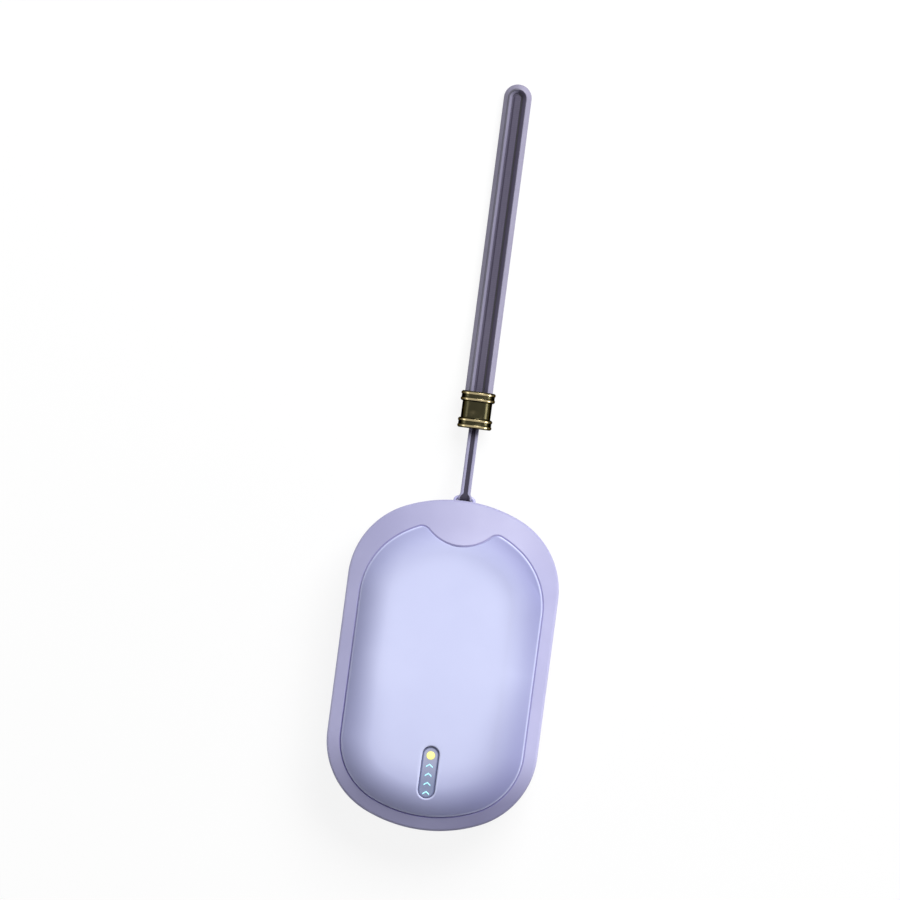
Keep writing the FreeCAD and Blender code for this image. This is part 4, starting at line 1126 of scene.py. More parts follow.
@dataclass
class Case:
    """The case in millimetres: a frame with sloping rims, a pillow-shaped front cover and a rear cover."""

    thickness: float = 26.0
    body: Pebble = Pebble(33.0, PebbleEnd(51.7, 25.3, 44.3), PebbleEnd(51.7, 25.3, 44.3))
    opening: Pebble = Pebble(29.0, PebbleEnd(45.2, 24.35, 32.1), PebbleEnd(47.7, 21.3, 40.3))
    tongue: Tongue = Tongue(37.8, 13.4, 3.45)
    shoulder: float = 20.0
    slope: float = 6.0 / 13.9
    rear_shoulder: float = 6.0
    rear_slope: float = 2.4 / 5.5
    rim_edge: float = 1.2
    rim_inset: float = 4.0
    lip: float = 0.12
    wall: float = 2.4
    ledge: float = 18.6
    rear_ledge: float = 7.4
    ledge_width: float = 1.9
    ledge_thickness: float = 1.2
    tongue_foot: float = 19.75
    tongue_rake: float = 0.2
    shelf_depth: float = 0.1
    shelf_width: float = 0.44
    seam: float = 0.45
    # The seam rows and lean place painted shade in the groove beside the front cover.
    seam_rows: int = 4
    seam_lean: float = 0.6
    # Painted shade on the frame: darker towards both ends, and more at the lower right.
    ends_start: float = 20.0
    ends_run: float = 26.0
    ends_shade: float = 0.55
    lee_shade: float = 1.0
    cover_depth: float = 6.6
    cover_wall: float = 1.8
    cover_edge: float = 0.35
    cover_brink: float = 1.5
    cover_proud: float = 0.3
    proud_run: float = 4.5
    skirt: float = 1.9
    cavity: float = 2.36
    cavity_inset: float = 3.6
    dome_radius: float = 14.0
    dome_run: float = 9.5
    rear_flat: float = 1.05
    # Painted shade on the covers: darker towards their edges, more towards the ends and on the right.
    shade_run: float = 13.0
    shade_gain: tuple[float, float] = (10.0, 4.0)
    shade_lee: float = 12.0
    shade_power: float = 1.5
    shade_slow: float = 0.45
    edge_shade: float = 0.667
    edge_lee: float = 0.4
    bright_edge: float = 0.6
    slot_half: tuple[float, float] = (2.65, 8.15)
    slot_y: float = -33.5
    slot_edge: float = 0.5
    slot_shade: float = 0.3
    columns: int = 768
    shoulder_rows: int = 9
    rim_rows: int = 16
    rear_stride: int = 3
    wall_rows: int = 37
    row_gap: float = 0.2
    pillow_rows: int = 62
    pillow_gather: float = 1.7
    rear_rows: int = 30
    openings: tuple[WallOpening, ...] = (WallOpening(End.LOWER, 4.65, 1.75, 1.75, 2.4, True),
                                         WallOpening(End.UPPER, 2.6, 3.2, 0.8, 2.1, False))

    def build(self) -> None:
        """Make, dress and place the three shells."""
        settle(self.make_frame(), SHELL, Body.CASE, "shell", "mid_frame")
        settle(self.make_front_cover(), COVER, Body.CASE, "shell", "front_cover")
        settle(self.make_rear_cover(), COVER, Body.CASE, "shell", "rear_cover")

    def shoulder_arc(self, slope: float) -> tuple[Array, Array]:
        """The rounded shoulder between the side wall and a rim that rises inwards.

        The arc touches the wall and the slope; its angle runs from level to square on the slope.

        Args:
            slope: rise of the rim for each millimetre inwards.

        Returns:
            Depths below the outline and rises above the sharp shoulder.
        """
        sweep_angle = math.pi / 2 - math.atan(slope)
        angle = np.linspace(0, sweep_angle, self.shoulder_rows)
        back = self.rim_edge * math.tan(sweep_angle / 2)
        return self.rim_edge * (1 - np.cos(angle)), self.rim_edge * np.sin(angle) - back

    def rim_shares(self) -> Array:
        """Shares of the way across a rim, gathered at its sides: half of 1 less a half turn's cosine."""
        return (1 - np.cos(np.linspace(0, math.pi, self.rim_rows)[1:-1])) / 2

    def rim_height(self, flat: Array) -> Array:
        """The front rim's height: the shoulder's plus the slope times the depth below the case's outline."""
        return self.shoulder + self.slope * self.body.nearest(flat)[2]

    def rear_rim_height(self, depth: float) -> float:
        """The rear rim's height: its shoulder's less its slope times the depth below the outline."""
        return self.rear_shoulder - self.rear_slope * depth

    def front_rings(self, line: FrameColumns) -> list[Array]:
        """The rings from the shelf beside the front cover, over the lip and the rim, to the top of the wall.

        The lip is a quarter round. The rim is ruled between the lip and the shoulder's arc.

        Args:
            line: the frame's columns.

        Returns:
            The rings in order.
        """
        shelf, low = line.hole - self.shelf_width * line.out, self.rim_height(line.hole) - self.shelf_depth
        rings = [lift(shelf, self.tongue_foot), lift(shelf, low), lift(line.hole, low)]
        for move, drop in quarter_round(self.lip):
            spot = line.hole + move * line.out
            rings.append(lift(spot, self.rim_height(spot) - drop))
        depths, rises = self.shoulder_arc(self.slope)
        for share in self.rim_shares():
            spot = line.depth + share * (depths[-1] - line.depth)
            rings.append(line.below(spot, self.shoulder + self.slope * spot))
        return rings + [line.below(d, self.shoulder + z) for d, z in zip(depths[::-1], rises[::-1])]

    def rear_rings(self, line: FrameColumns) -> list[Array]:
        """The rings from the foot of the wall, over the rear rim, its lip and its ledge, into the hollow.

        They are the front's, mirrored and at even depths, down to the floor of the rear ledge.

        Args:
            line: the frame's columns.

        Returns:
            The rings in order.
        """
        depths, rises = self.shoulder_arc(self.rear_slope)
        places = [(d, self.rear_shoulder - z) for d, z in zip(depths, rises)]
        rim = depths[-1] + self.rim_shares()[::self.rear_stride] * (self.rim_inset - self.lip - depths[-1])
        places += [(d, self.rear_rim_height(d)) for d in rim]
        places += [(self.rim_inset - move, self.rear_rim_height(self.rim_inset - move) + drop)
                   for move, drop in quarter_round(self.lip)[::-1]]
        shelf, inner = self.rim_inset + self.shelf_width, self.rim_inset + self.ledge_width
        low = self.rear_rim_height(self.rim_inset) + self.shelf_depth
        floor = self.rear_ledge + self.ledge_thickness
        places += [(self.rim_inset, low), (shelf, low), (shelf, self.rear_ledge), (inner, self.rear_ledge),
                   (inner, floor), (self.wall, floor)]
        return [line.below(*place) for place in places]

    def make_frame(self) -> bpy.types.Object:
        """The frame, as closed rings carried round the front opening.

        Each column goes from the opening over the front rim, straight down the wall, round the rear rim, up
        through the hollow and round the front ledge, which has no tongue, back to where it started.

        Returns:
            The frame's object.
        """
        hole, out = self.opening.outline(self.tongue).sample(self.columns)
        plain, plain_out, _ = self.opening.nearest(hole)
        line = FrameColumns(hole, out, *self.body.nearest(hole + self.lip * out))
        front, rear = self.front_rings(line), self.rear_rings(line)
        levels = np.linspace(front[-1][0, 2], rear[0][0, 2], self.wall_rows)[1:-1]
        floor, ceiling = self.rear_ledge + self.ledge_thickness, self.ledge - self.ledge_thickness
        inside = levels[(levels > floor + self.row_gap) & (levels < ceiling - self.row_gap)]
        ledge = plain - self.ledge_width * plain_out
        rings = [*front, *(line.below(0.0, z) for z in levels), *rear,
                 *(line.below(self.wall, z) for z in inside[::-1]), line.below(self.wall, ceiling),
                 lift(ledge, ceiling), lift(ledge, self.ledge), lift(plain, self.ledge),
                 lift(plain, self.tongue_foot - self.tongue_rake)]
        skin = Skin()
        numbers = skin.add(np.stack(rings))
        grid = WallGrid(numbers, np.zeros(numbers.shape, bool), line.foot, levels, len(front), inside,
                        len(front) + len(levels) + len(rear))
        for cut in self.openings:
            self.cut_wall(skin, grid, cut)
        skin.weave(numbers, wrap=True, leave=grid.leave)
        return skin.piece("case_frame", self.frame_marks(skin))

    def frame_marks(self, skin: Skin) -> dict[str, Array]:
        """How much painted shade the frame has, and the painted shade of the groove beside the front cover.

        The painted shade deepens by a smooth step towards both ends, and more at the lower right. The
        groove's painted shade is on the first rows, half as dark as it can be, and darker towards the lower
        left.

        Args:
            skin: the frame's points.

        Returns:
            The two marks of each point.
        """
        x, y, _ = skin.stack().T
        right, down = x / self.body.half, -y / self.body.lower.reach
        # Painted shade: darker towards both ends and the lower right, and along the groove towards the lower
        # left.
        ends = smooth((np.abs(y) - self.ends_start) / self.ends_run)
        beside = np.arange(skin.count) < self.seam_rows * self.columns
        return {"painted_shade": ends * (self.ends_shade + self.lee_shade * held(right) * held(down)),
                "seam": np.where(beside, 0.5 + 0.5 * held(down - self.seam_lean * right), 0.0)}

    def cut_wall(self, skin: Skin, grid: WallGrid, cut: WallOpening) -> None:
        """Leave a patch out of the end wall and lead its edge into a rounded opening.

        Each point of the patch's edge goes along its own ray to the opening's outline, round the opening's
        edge by a quarter turn, and straight in to the floor, or to the same patch of the hollow's wall.

        Args:
            skin: where the points and faces go.
            grid: the frame's grid, which gets the cells to leave open.
            cut: the opening.
        """
        middle, crown = self.thickness / 2, self.body.upper
        across, along = grid.foot.T
        columns = np.flatnonzero((np.abs(across) < cut.half_width + cut.margin) & (along * cut.end.value > 0))

        def near(heights: Array) -> Array:
            """Which of the heights lie beside the opening."""
            return np.flatnonzero(np.abs(heights - middle) < cut.half_height + cut.margin)

        outer = grid.patch(grid.wall_start + near(grid.levels), columns)
        start = skin.points[0][outer][:, [0, 2]] - [0.0, middle]
        angle = np.arctan2(start[:, 1], start[:, 0])

        def ring(grow: float, depth: float, share: float = 1.0) -> Array:
            """The opening's outline on the crown, grown and moved in, or a share of the way to it.

            Args:
                grow: how far outside the opening the ring lies.
                depth: how far behind the crown it lies.
                share: 0 at the patch's edge, 1 at the outline.

            Returns:
                The ring's points.
            """
            flat = box_ray(angle, cut.half_width + grow, cut.half_height + grow, cut.corner + grow)
            x, z = ((1 - share) * start + share * flat).T
            y = crown.crown_y + np.sqrt(crown.crown**2 - x**2) - depth
            return np.stack([x, cut.end.value * y, z + middle], axis=1)

        rings = [ring(cut.edge, 0.0, 0.5)]
        rings += [ring(grow, depth) for depth, grow in quarter_round(cut.edge, cut.edge_rows)]
        rings.append(ring(0.0, cut.depth))
        loops = [outer, *skin.add(np.stack(rings))]
        if cut.through:
            loops.append(grid.patch(grid.hollow_start + len(grid.inside) - 1 - near(grid.inside), columns))
        else:
            skin.lid(loops[-1])
        skin.weave(np.stack(loops))

    def fall(self, depth: float | Array) -> float | Array:
        """How far the pillow falls at a depth from its edge: a circle's rise over the rest of its run."""
        rest = np.clip(self.dome_run - depth, 0.0, self.dome_run)
        return self.dome_radius - np.sqrt(self.dome_radius**2 - rest**2)

    def pillow(self, flat: Array) -> Array:
        """The front pillow's height: the top less its fall, and near the edge not below a line over the rim.

        Where the pillow would lie lower than that line, a smooth step over a short run takes it there.

        Args:
            flat: n by 2 points of the cover.

        Returns:
            The height at each point.
        """
        depth = self.opening.nearest(flat)[2] - self.seam
        height = self.thickness - self.fall(depth)
        raised = np.maximum(self.rim_height(flat) + self.cover_proud - height, 0.0)
        return height + raised * (1 - smooth(depth / self.proud_run))

    def painted_shade(self, flat: Array, outline: Pebble, inset: float) -> Array:
        """How much painted shade a cover has: most near its edge, falling by a smooth step inwards.

        The run of the fall grows towards both ends, and more on the right, where the share of the shade
        colour is also greatest. The rounding of the edge itself has none, so that it stands out as a lighter
        line.

        Args:
            flat: n by 2 points of the cover.
            outline: the outline that the cover's edge follows.
            inset: how far inside that outline the edge lies.

        Returns:
            Shares of the painted shade's colour.
        """
        (sideways, height), depth = flat.T, outline.nearest(flat)[2] - inset
        end = np.abs(height) / self.body.lower.reach
        lee = held(sideways / self.opening.half) * end
        run = self.shade_run + np.where(height < 0, *self.shade_gain) * end + self.shade_lee * lee
        painted_shade = 1 - (1 - (1 - smooth(depth / run)) ** self.shade_power) * (1 - self.shade_slow * end**2)
        return painted_shade * (self.edge_shade + self.edge_lee * lee) * held(depth / self.bright_edge)

    def make_front_cover(self) -> bpy.types.Object:
        """The front cover, as closed rings between the notched edge and the key's slot.

        A ring is a straight blend from the edge to the slot along rays from the slot's middle, closest
        together near the edge, at the pillow's height. The edge and the slot's rim are quarter rounds, and
        the rings go back underneath through the two steps of the hollow.

        Returns:
            The cover's object.
        """
        hole, out = self.opening.outline(self.tongue).sample(self.columns)
        edge = hole - self.seam * out
        plain, plain_out, _ = self.opening.nearest(hole)
        ray = np.arctan2(edge[:, 1] - self.slot_y, edge[:, 0])

        def slot(grow: float) -> Array:
            """The slot's outline, grown, where the rays of the edge's points meet it."""
            half_width, half_length = (half + grow for half in self.slot_half)
            return box_ray(ray, half_width, half_length, half_width) + [0.0, self.slot_y]

        def over(flat: Array, drop: float = 0.0) -> Array:
            """A ring on the pillow, or a drop below it."""
            return lift(flat, self.pillow(flat) - drop)

        foot = self.thickness - self.cover_depth
        rings = [lift(edge, foot)]
        rings += [over(edge - move * out, drop) for move, drop in quarter_round(self.cover_edge)]
        brink, rim = edge - self.cover_brink * self.cover_edge * out, slot(self.slot_edge)
        shares = np.linspace(0, 1, self.pillow_rows) ** self.pillow_gather
        rings += [over((1 - share) * brink + share * rim) for share in shares]
        slot_start = len(rings) - 1
        rings += [over(slot(grow), drop) for drop, grow in quarter_round(self.slot_edge)[1:]]
        ceiling, step = self.thickness - self.cover_wall, foot + self.cavity
        near, far = (plain - (self.seam + self.skirt + inset) * plain_out
                     for inset in (0.0, self.cavity_inset))
        rings += [lift(*place) for place in ((slot(0.0), ceiling), (far, ceiling), (far, step), (near, step),
                                             (near, foot))]
        skin = Skin()
        skin.rings(rings, wrap=True)
        painted_shade = self.painted_shade(skin.stack()[:, :2], self.opening, self.seam)
        # The rim of the key's slot keeps only a share of the painted shade, so that it is lighter.
        painted_shade[slot_start * self.columns:] *= self.slot_shade
        return skin.piece("front_shell", {"painted_shade": painted_shade})

    def make_rear_cover(self) -> bpy.types.Object:
        """The rear cover, as rings parallel to its outline, with the front's pillow and a flat middle.

        The rings start in the hollow, go down its two steps and out to the edge, and in over the pillow.

        Returns:
            The cover's object.
        """
        inset, step = self.rim_inset + self.seam, self.cover_depth - self.cavity
        rim, out = self.body.outline().sample(self.columns // 2)
        far = self.skirt + self.cavity_inset
        places = [(far, self.cover_wall), (far, step), (self.skirt, step), (self.skirt, self.cover_depth),
                  (0.0, self.cover_depth)]
        places += [(move, self.fall(move) + drop) for move, drop in quarter_round(self.cover_edge)]
        first, last = self.cover_brink * self.cover_edge, self.rear_flat * self.dome_run
        pillow = np.linspace(first, last, self.rear_rows)
        places += zip(pillow, self.fall(pillow))
        skin = Skin()
        skin.close(skin.rings([lift(rim - (inset + depth) * out, height) for depth, height in places]))
        # The rear cover gets painted shade towards its edge, as the front does.
        return skin.piece("rear_shell", {"painted_shade": self.painted_shade(skin.stack()[:, :2], self.body, inset)})


@dataclass
class KeyLights:
    """The lit inserts in the key, in millimetres: a round yellow lens and a row of cyan chevrons."""

    top: float = 25.2
    foot: float = 24.6
    proud: float = 0.12
    dot_y: float = -28.2
    dot_radius: float = 1.35
    dot_pole: float = 0.06
    dot_rows: int = 14
    dot_columns: int = 72
    dim_power: int = 6
    first_y: float = -31.6
    pitch: float = 2.85
    count: int = 4
    half_width: float = 1.05
    peak: float = 0.575
    fall: float = 0.8
    stroke: float = 0.45
    stroke_rounds: tuple[float, ...] = (0.03, 0.03, 0.14, 0.14)
    stroke_rows: int = 25

    def build(self) -> None:
        """Make, dress and place both inserts."""
        settle(self.make_lens(), DOT, Body.KEY, "status_light", "status_lens")
        settle(self.make_chevrons(), CHEVRON, Body.KEY, "level_light", "level_chevrons")

    def make_lens(self) -> bpy.types.Object:
        """The lens: a low dome, whose height falls with the square of the radius, turned upright.

        Returns:
            The lens's object.
        """
        radius = self.dot_radius * np.sin(np.linspace(self.dot_pole, math.pi / 2, self.dot_rows))
        height = self.top + self.proud * (1 - (radius / self.dot_radius) ** 2)
        radius, height = np.append(radius, self.dot_radius), np.append(height, self.foot)
        flat = circle(self.dot_columns)
        skin = Skin()
        skin.close(skin.rings([lift(r * flat + [0.0, self.dot_y], z) for r, z in zip(radius, height)]))
        dim = (radius / self.dot_radius) ** self.dim_power
        return skin.piece("dot_lens", {"dim": np.repeat(dim, self.dot_columns)})

    def make_chevrons(self) -> bpy.types.Object:
        """The chevrons: a stroke with a rounded top, carried along a line that falls evenly from its peak.

        Returns:
            The object of all the chevrons.
        """
        x = self.half_width * np.linspace(-1, 1, self.stroke_rows)
        half, low = self.stroke / 2, self.foot - self.top
        corners = np.array([[-half, low], [half, low], [half, self.proud], [-half, self.proud]])
        profile = rounded(corners, np.array(self.stroke_rounds), closed=True)
        skin = Skin()
        for index in range(self.count):
            y = self.first_y - index * self.pitch + self.peak - self.fall * np.abs(x) / self.half_width
            sweep(skin, np.stack([x, y, np.full_like(x, self.top)], axis=1), ALONG, UP, profile)
        return skin.piece("level_marks")


@dataclass
class Lanyard:
    """The lanyard in millimetres: a wire bail, a two-tone tether, a brass ferrule and a lined wrist strap."""

    bail_half: float = 2.9
    bail_wire: float = 1.2
    bail_crown: float = 52.65
    bail_foot: float = 48.15
    bail_bend: float = 1.0
    bail_height: float = 13.0
    bail_columns: int = 32
    bend_rows: int = 12
    tether_width: float = 3.2
    tether_thickness: float = 1.1
    tether_middle: float = 1.3
    tether_sink: float = 0.2
    tether_brow: float = 0.12
    tether_foot: float = 0.08
    tether_round: float = 0.42
    sink_round: float = 0.1
    tether_length: float = 55.0
    tether_rows: int = 260
    flare: float = 0.36
    flare_run: float = 1.4
    dark_flare: float = 0.8
    axis_height: float = 5.45
    ferrule_start: float = 74.4
    ferrule_length: float = 11.6
    flange: float = 5.4
    flange_length: float = 3.2
    barrel: float = 4.675
    socket: float = 4.85
    socket_depth: float = 3.0
    chamber: float = 3.4
    floor: float = 2.2
    tether_hole: float = 2.3
    bevel: float = 0.4
    ridge: float = 0.55
    groove: float = 0.2
    turned_round: float = 0.11
    turned_steps: int = 4
    turned_columns: int = 160
    turned_run: float = 1.0
    guard: float = 0.04
    strap_half: float = 4.35
    strap_depth: float = 4.0
    strap_wall: float = 2.8
    strap_ridge: tuple[float, float] = (1.4, 1.7)
    strap_drop: tuple[float, float] = (1.35, 1.5)
    strap_rounds: tuple[float, ...] = (0.3, 0.25, 0.2, 0.05)
    strap_length: float = 198.0
    strap_rows: int = 900
    strap_run: float = 0.9
    turn_run: float = 2.0
    # The lean, the two depths and the share below place painted shade on the strap's legs; the gap sets its
    # guard points.
    lean: float = 1.05
    shade_depth: tuple[float, float] = (1.25, 1.8)
    guard_gap: float = 0.3
    outer_shade: float = 0.35
    lining_depth: float = 1.7
    lining_edge: float = 0.4
    lining_overlap: float = 0.03
    lining_rise: tuple[float, float] = (0.2, 0.5)
    # Where the painted shadow on the lining's foot reaches, and how soft its edge is.
    shadow_reach: float = 0.42
    shadow_run: float = 0.15
    lining_shares: tuple[float, ...] = (1.0, 0.8, 0.6, 0.5, 0.45, 0.4, 0.35, 0.3, 0.25, 0.2, 0.1, 0.04, 0.0)
    tether_route: Route = Route((
        (0, 76.6, 6.1), (0, 70.2, 6.1), (0, 54.35, 13.67), (0, 51.97, 14.71), (0, 50.94, 12.32),
        (0, 53.34, 11.30), (0, 70.2, 4.8), (0, 76.6, 4.8)))
    strap_route: Route = Route((
        (2.175, 83.05, 5.45), (2.175, 93, 5.45), (2.175, 113, 2.05), (2.175, 146, 2.05),
        (2.175, 177.65, 2.05), (2.175, 179.45, 2.05), (0.9, 180.73, 2.05), (-0.9, 180.73, 2.05),
        (-2.175, 179.45, 2.05), (-2.175, 177.65, 2.05), (-2.175, 146, 2.05), (-2.175, 113, 2.05),
        (-2.175, 93, 5.45), (-2.175, 83.05, 5.45)))

    def build(self) -> None:
        """Make, dress and place the bail, the tether, the ferrule and the strap."""
        settle(self.make_bail(), SHELL, Body.CASE, "bail_wire", "lanyard_bail")
        settle(self.make_ferrule(), BRASS, Body.LANYARD, "brass", "ferrule")
        self.build_tether()
        self.build_strap()

    def make_bail(self) -> bpy.types.Object:
        """The bail: a round wire carried along a U with rounded corners.

        Returns:
            The bail's object.
        """
        half, crown, foot = self.bail_half, self.bail_crown, self.bail_foot
        corners = np.array([[-half, foot], [-half, crown], [half, crown], [half, foot]])
        flat = rounded(corners, np.full(len(corners), self.bail_bend), closed=False, steps=self.bend_rows)
        path = lift(flat, self.bail_height)
        skin = Skin()
        sweep(skin, path, np.cross(tangents(path), UP), UP, self.bail_wire / 2 * circle(self.bail_columns))
        return skin.piece("bail_loop")

    def make_ferrule(self) -> bpy.types.Object:
        """The ferrule: a closed profile with a ridge at each flange edge, turned round an axis along Y.

        Long straight runs of the profile get a point near each end, so that the shading stays straight there.

        Returns:
            The ferrule's object.
        """
        start, end = self.ferrule_start, self.ferrule_start + self.ferrule_length
        low, high = start + self.flange_length, end - self.flange_length
        steps = np.array([[-self.bevel, 0.0], [0.0, self.bevel], [0.0, self.ridge + self.bevel],
                          [-self.groove, 2 * self.ridge]])
        mirrored = steps[::-1] * [1, -1] + [0.0, self.flange_length]
        flange = np.concatenate([steps, mirrored]) + [self.flange, 0.0]
        inner, floor = end - self.socket_depth, start + self.floor
        profile = np.concatenate([
            [[self.tether_hole, start]], flange + [0.0, start], [[self.barrel, low], [self.barrel, high]],
            flange + [0.0, high], [[self.socket, end], [self.socket, inner], [self.chamber, inner],
                                   [self.chamber, floor], [self.tether_hole, floor]]])
        profile = rounded(profile, np.full(len(profile), self.turned_round), closed=True,
                          steps=self.turned_steps)
        radius, y = np.split(guarded(profile, self.turned_run, self.guard), 2, axis=1)
        x, z = circle(self.turned_columns).T
        skin = Skin()
        grid = np.stack(np.broadcast_arrays(radius * x, y, self.axis_height + radius * z), axis=2)
        skin.weave(skin.add(grid), wrap=True)
        return skin.piece("brass_ferrule")

    def build_tether(self) -> None:
        """The tether: a tape profile with raised edges, carried along its route and spread at the bail.

        The spread is a smooth step that falls from the bail's crown over a short run, and the dark middle
        spreads more.
        """
        half, thick, middle = self.tether_width / 2, self.tether_thickness / 2, self.tether_middle / 2
        sunk, brow, foot = thick - self.tether_sink, middle + self.tether_brow, middle - self.tether_foot
        upper = np.array([[half, thick], [brow, thick], [foot, sunk], [-foot, sunk], [-brow, thick],
                          [-half, thick]])
        rounds = np.array([self.tether_round, *[self.sink_round] * 4, self.tether_round])
        profile = rounded(np.concatenate([upper, -upper]), np.tile(rounds, 2), closed=True)
        path = self.tether_route.line(self.tether_rows)
        near = (1 - smooth((path[:, 1] - self.bail_crown) / self.flare_run))[:, None]
        skin = Skin()
        along = sweep(skin, path, (1 + self.flare * near) * ACROSS, np.cross(ACROSS, tangents(path)), profile)
        across = (profile[:, 0] / (1 + self.dark_flare * near)).ravel()
        tether = settle(skin.piece("tether_tape", {"along": along, "across": across}), TAPE, Body.LANYARD,
                        "tape_cord", "lanyard_tether")

    def build_strap(self) -> None:
        """The strap: a band with a ridge on both faces, and its lining, carried along the loop.

        The mark across the band is moved on the left leg, so that its line of two colours lies further in:
        the lit inner face of the left leg is pale, and the shaded one of the right leg keeps the dark colour
        as painted shade.
        A darker line of painted shade is along the ridge of the left leg, with a share of it on the leg's
        outer face, which faces away from the light.
        """
        path = self.strap_route.line(self.strap_rows)
        ahead = tangents(path)
        sideways = unit(np.cross(ahead, UP))
        outer, high = self.strap_half / 2, self.strap_depth / 2
        inner = outer - self.strap_wall
        (near, far), (low, lower) = self.strap_ridge, self.strap_drop
        upper = np.array([[outer, high - low], [outer - near, high], [outer - far, high],
                          [inner, high - lower]])
        corners, rounds = np.concatenate([upper, upper[::-1] * [1, -1]]), np.array(self.strap_rounds)
        profile = rounded(corners, np.append(rounds, rounds[::-1]), closed=True)
        profile = guarded(profile, self.strap_run, 0.0, self.guard_gap)
        band = Skin()
        along = sweep(band, path, sideways, np.cross(sideways, ahead), profile)
        # On the left leg the line moves in: the right leg's inner face, in shade, stays dark as painted
        # shade.
        across = profile[:, 0] + self.lean * (path[:, :1] < 0)
        depth, (first, last) = outer - profile[:, 0], self.shade_depth
        # Painted shade along the left leg's ridge, with a share on its outer face.
        crease = np.where(depth < first, self.outer_shade, depth < last) * (1 - self.right_leg(path))
        marks = {"along": along, "across": across.ravel(), "crease": crease.ravel()}
        strap = settle(band.piece("wrist_band", marks), STRAP, Body.LANYARD, "strap", "strap_band")
        lining = settle(self.make_lining(path, sideways, inner + self.lining_overlap), LINING, Body.LANYARD,
                        "lining", "strap_lining")

    def right_leg(self, path: Array) -> Array:
        """1 on the strap's right leg, falling evenly to 0 across the turn at its end, n by 1."""
        return held(0.5 + path[:, :1] / self.turn_run)

    def make_lining(self, path: Array, sideways: Array, inner: float) -> bpy.types.Object:
        """The lining: one strip that fills the loop, with a raised middle and a round end.

        Each column lies at a share of the way from the band's inner wall to the strip's middle line, which
        stops at the centre of the bend, and its height rises with a smooth step between two shares. A mark
        gives the strip a painted shadow of the right leg along its foot.

        Args:
            path: the strap's line.
            sideways: directions out of the loop along it.
            inner: the wall's place, outwards from the line.

        Returns:
            The lining's object.
        """
        bend = path[:, 1].max() - self.strap_half / 2
        near = path + inner * sideways
        far = np.stack([np.zeros(len(path)), np.minimum(path[:, 1], bend), path[:, 2]], axis=1)
        share, (low, high) = np.array(self.lining_shares), self.lining_rise
        rise = smooth((share - low) / (high - low))
        height = self.lining_edge + (self.lining_depth / 2 - self.lining_edge) * rise
        share, height = np.append(share, share[::-1]), np.append(height, -height[::-1])
        grid = near[:, None] + share[:, None] * (far - near)[:, None] + height[:, None] * UP
        skin = Skin()
        numbers = skin.add(grid)
        leave = np.zeros(numbers.shape, bool)
        leave[:, -1] = True
        skin.weave(numbers, leave=leave)
        skin.close(numbers)
        along = np.repeat(np.linspace(0.0, self.strap_length, len(path)), len(share))
        # The right leg's painted shadow on the lining's foot.
        foot = (held((self.shadow_reach - share) / self.shadow_run) * self.right_leg(path)).ravel()
        return skin.piece("wrist_lining", {"along": along, "foot": foot}, merge=True)


@dataclass
class InnerParts:
    """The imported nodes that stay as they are: the key, the port, the seals and all inside the case."""

    finishes: dict[Finish, tuple[str, ...]] = field(default_factory=lambda: {
        # The smoked window's border is painted shade round its edge.
        ShadeBorderedWindow("smoked_window", (0.375, 0.395, 0.555), (0.22, 0.257, 0.40), 0.28, 0.004,
                     border=(0.13, 0.145, 0.275), middle=-33.5, half_straight=5.5, reach=(1.95, 2.25)):
            ("power_key",),
        MouldedPlastic("seal_rubber", (0.12, 0.11, 0.18), (0.09, 0.085, 0.14), 0.7, 0.03, 2600.0, 0.3):
            ("front_gasket", "rear_gasket"),
        MouldedPlastic("black_plastic", (0.025, 0.025, 0.028), (0.018, 0.018, 0.02), 0.5):
            ("tact_switch", "control_chip", "charge_chip", "usb_tongue", "light_shroud", "thermistor"),
        MouldedPlastic("natural_plastic", (0.72, 0.71, 0.68), (0.66, 0.65, 0.62), 0.5):
            ("tray", "switch_plunger"),
        MouldedPlastic("milky_guide", (0.82, 0.85, 0.9), (0.75, 0.79, 0.86), 0.25, 0.004):
            ("light_guide",),
        LitInsert("led_body", (0.95, 0.93, 0.8), (0.85, 0.82, 0.7), 0.2):
            ("status_led", "level_leds"),
        BrushedMetal("port_steel", (0.62, 0.62, 0.64), 0.28):
            ("usb_socket", "tray_screws", "board_screws"),
        BrushedMetal("heat_plate", (0.82, 0.82, 0.83), 0.35, (4000.0, 50.0, 4000.0)):
            ("front_heat_plate", "rear_heat_plate"),
        BrushedMetal("crimp_tin", (0.7, 0.69, 0.66), 0.34):
            ("tether_stop",),
        BoardMask("board_mask", (0.015, 0.12, 0.05), (0.04, 0.24, 0.09)):
            ("circuit_board",),
        MouldedPlastic("ferrite", (0.07, 0.068, 0.066), (0.045, 0.044, 0.043), 0.75, 0.05, 1800.0):
            ("power_coil",),
        MouldedPlastic("capacitor_clay", (0.48, 0.35, 0.22), (0.4, 0.28, 0.17), 0.45):
            ("capacitors",),
        CreasedFoil("cell_foil", (0.74, 0.75, 0.77), 1.0):
            ("battery_cell_lower", "battery_cell_upper"),
        CreasedFoil("amber_tape", (0.62, 0.36, 0.06), 0.0, 0.25):
            ("battery_tape",),
        CreasedFoil("heater_film", (0.5, 0.22, 0.05), 0.1, 0.3, 500.0):
            ("front_heater_film", "rear_heater_film"),
        MouldedPlastic("grey_foam", (0.2, 0.2, 0.21), (0.13, 0.13, 0.14), 0.9, 0.2, 900.0, 0.1):
            ("front_foam", "rear_foam"),
        MouldedPlastic("wire_sleeve", (0.55, 0.05, 0.04), (0.45, 0.035, 0.03), 0.4):
            ("battery_leads", "heater_leads"),
    })

    def build(self) -> None:
        """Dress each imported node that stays."""
        for finish, names in self.finishes.items():
            for name in names:
                finish.dress(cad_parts[name])
                LOG.info("%s keeps its packed shape: %s", name, finish.name)


# Studio


@dataclass(frozen=True)
class Softbox:
    """A flat lamp: its direction, as right, up and towards the camera, its distance, size and power."""

    name: str
    direction: Vector
    distance: float
    width: float
    height: float
    power: float


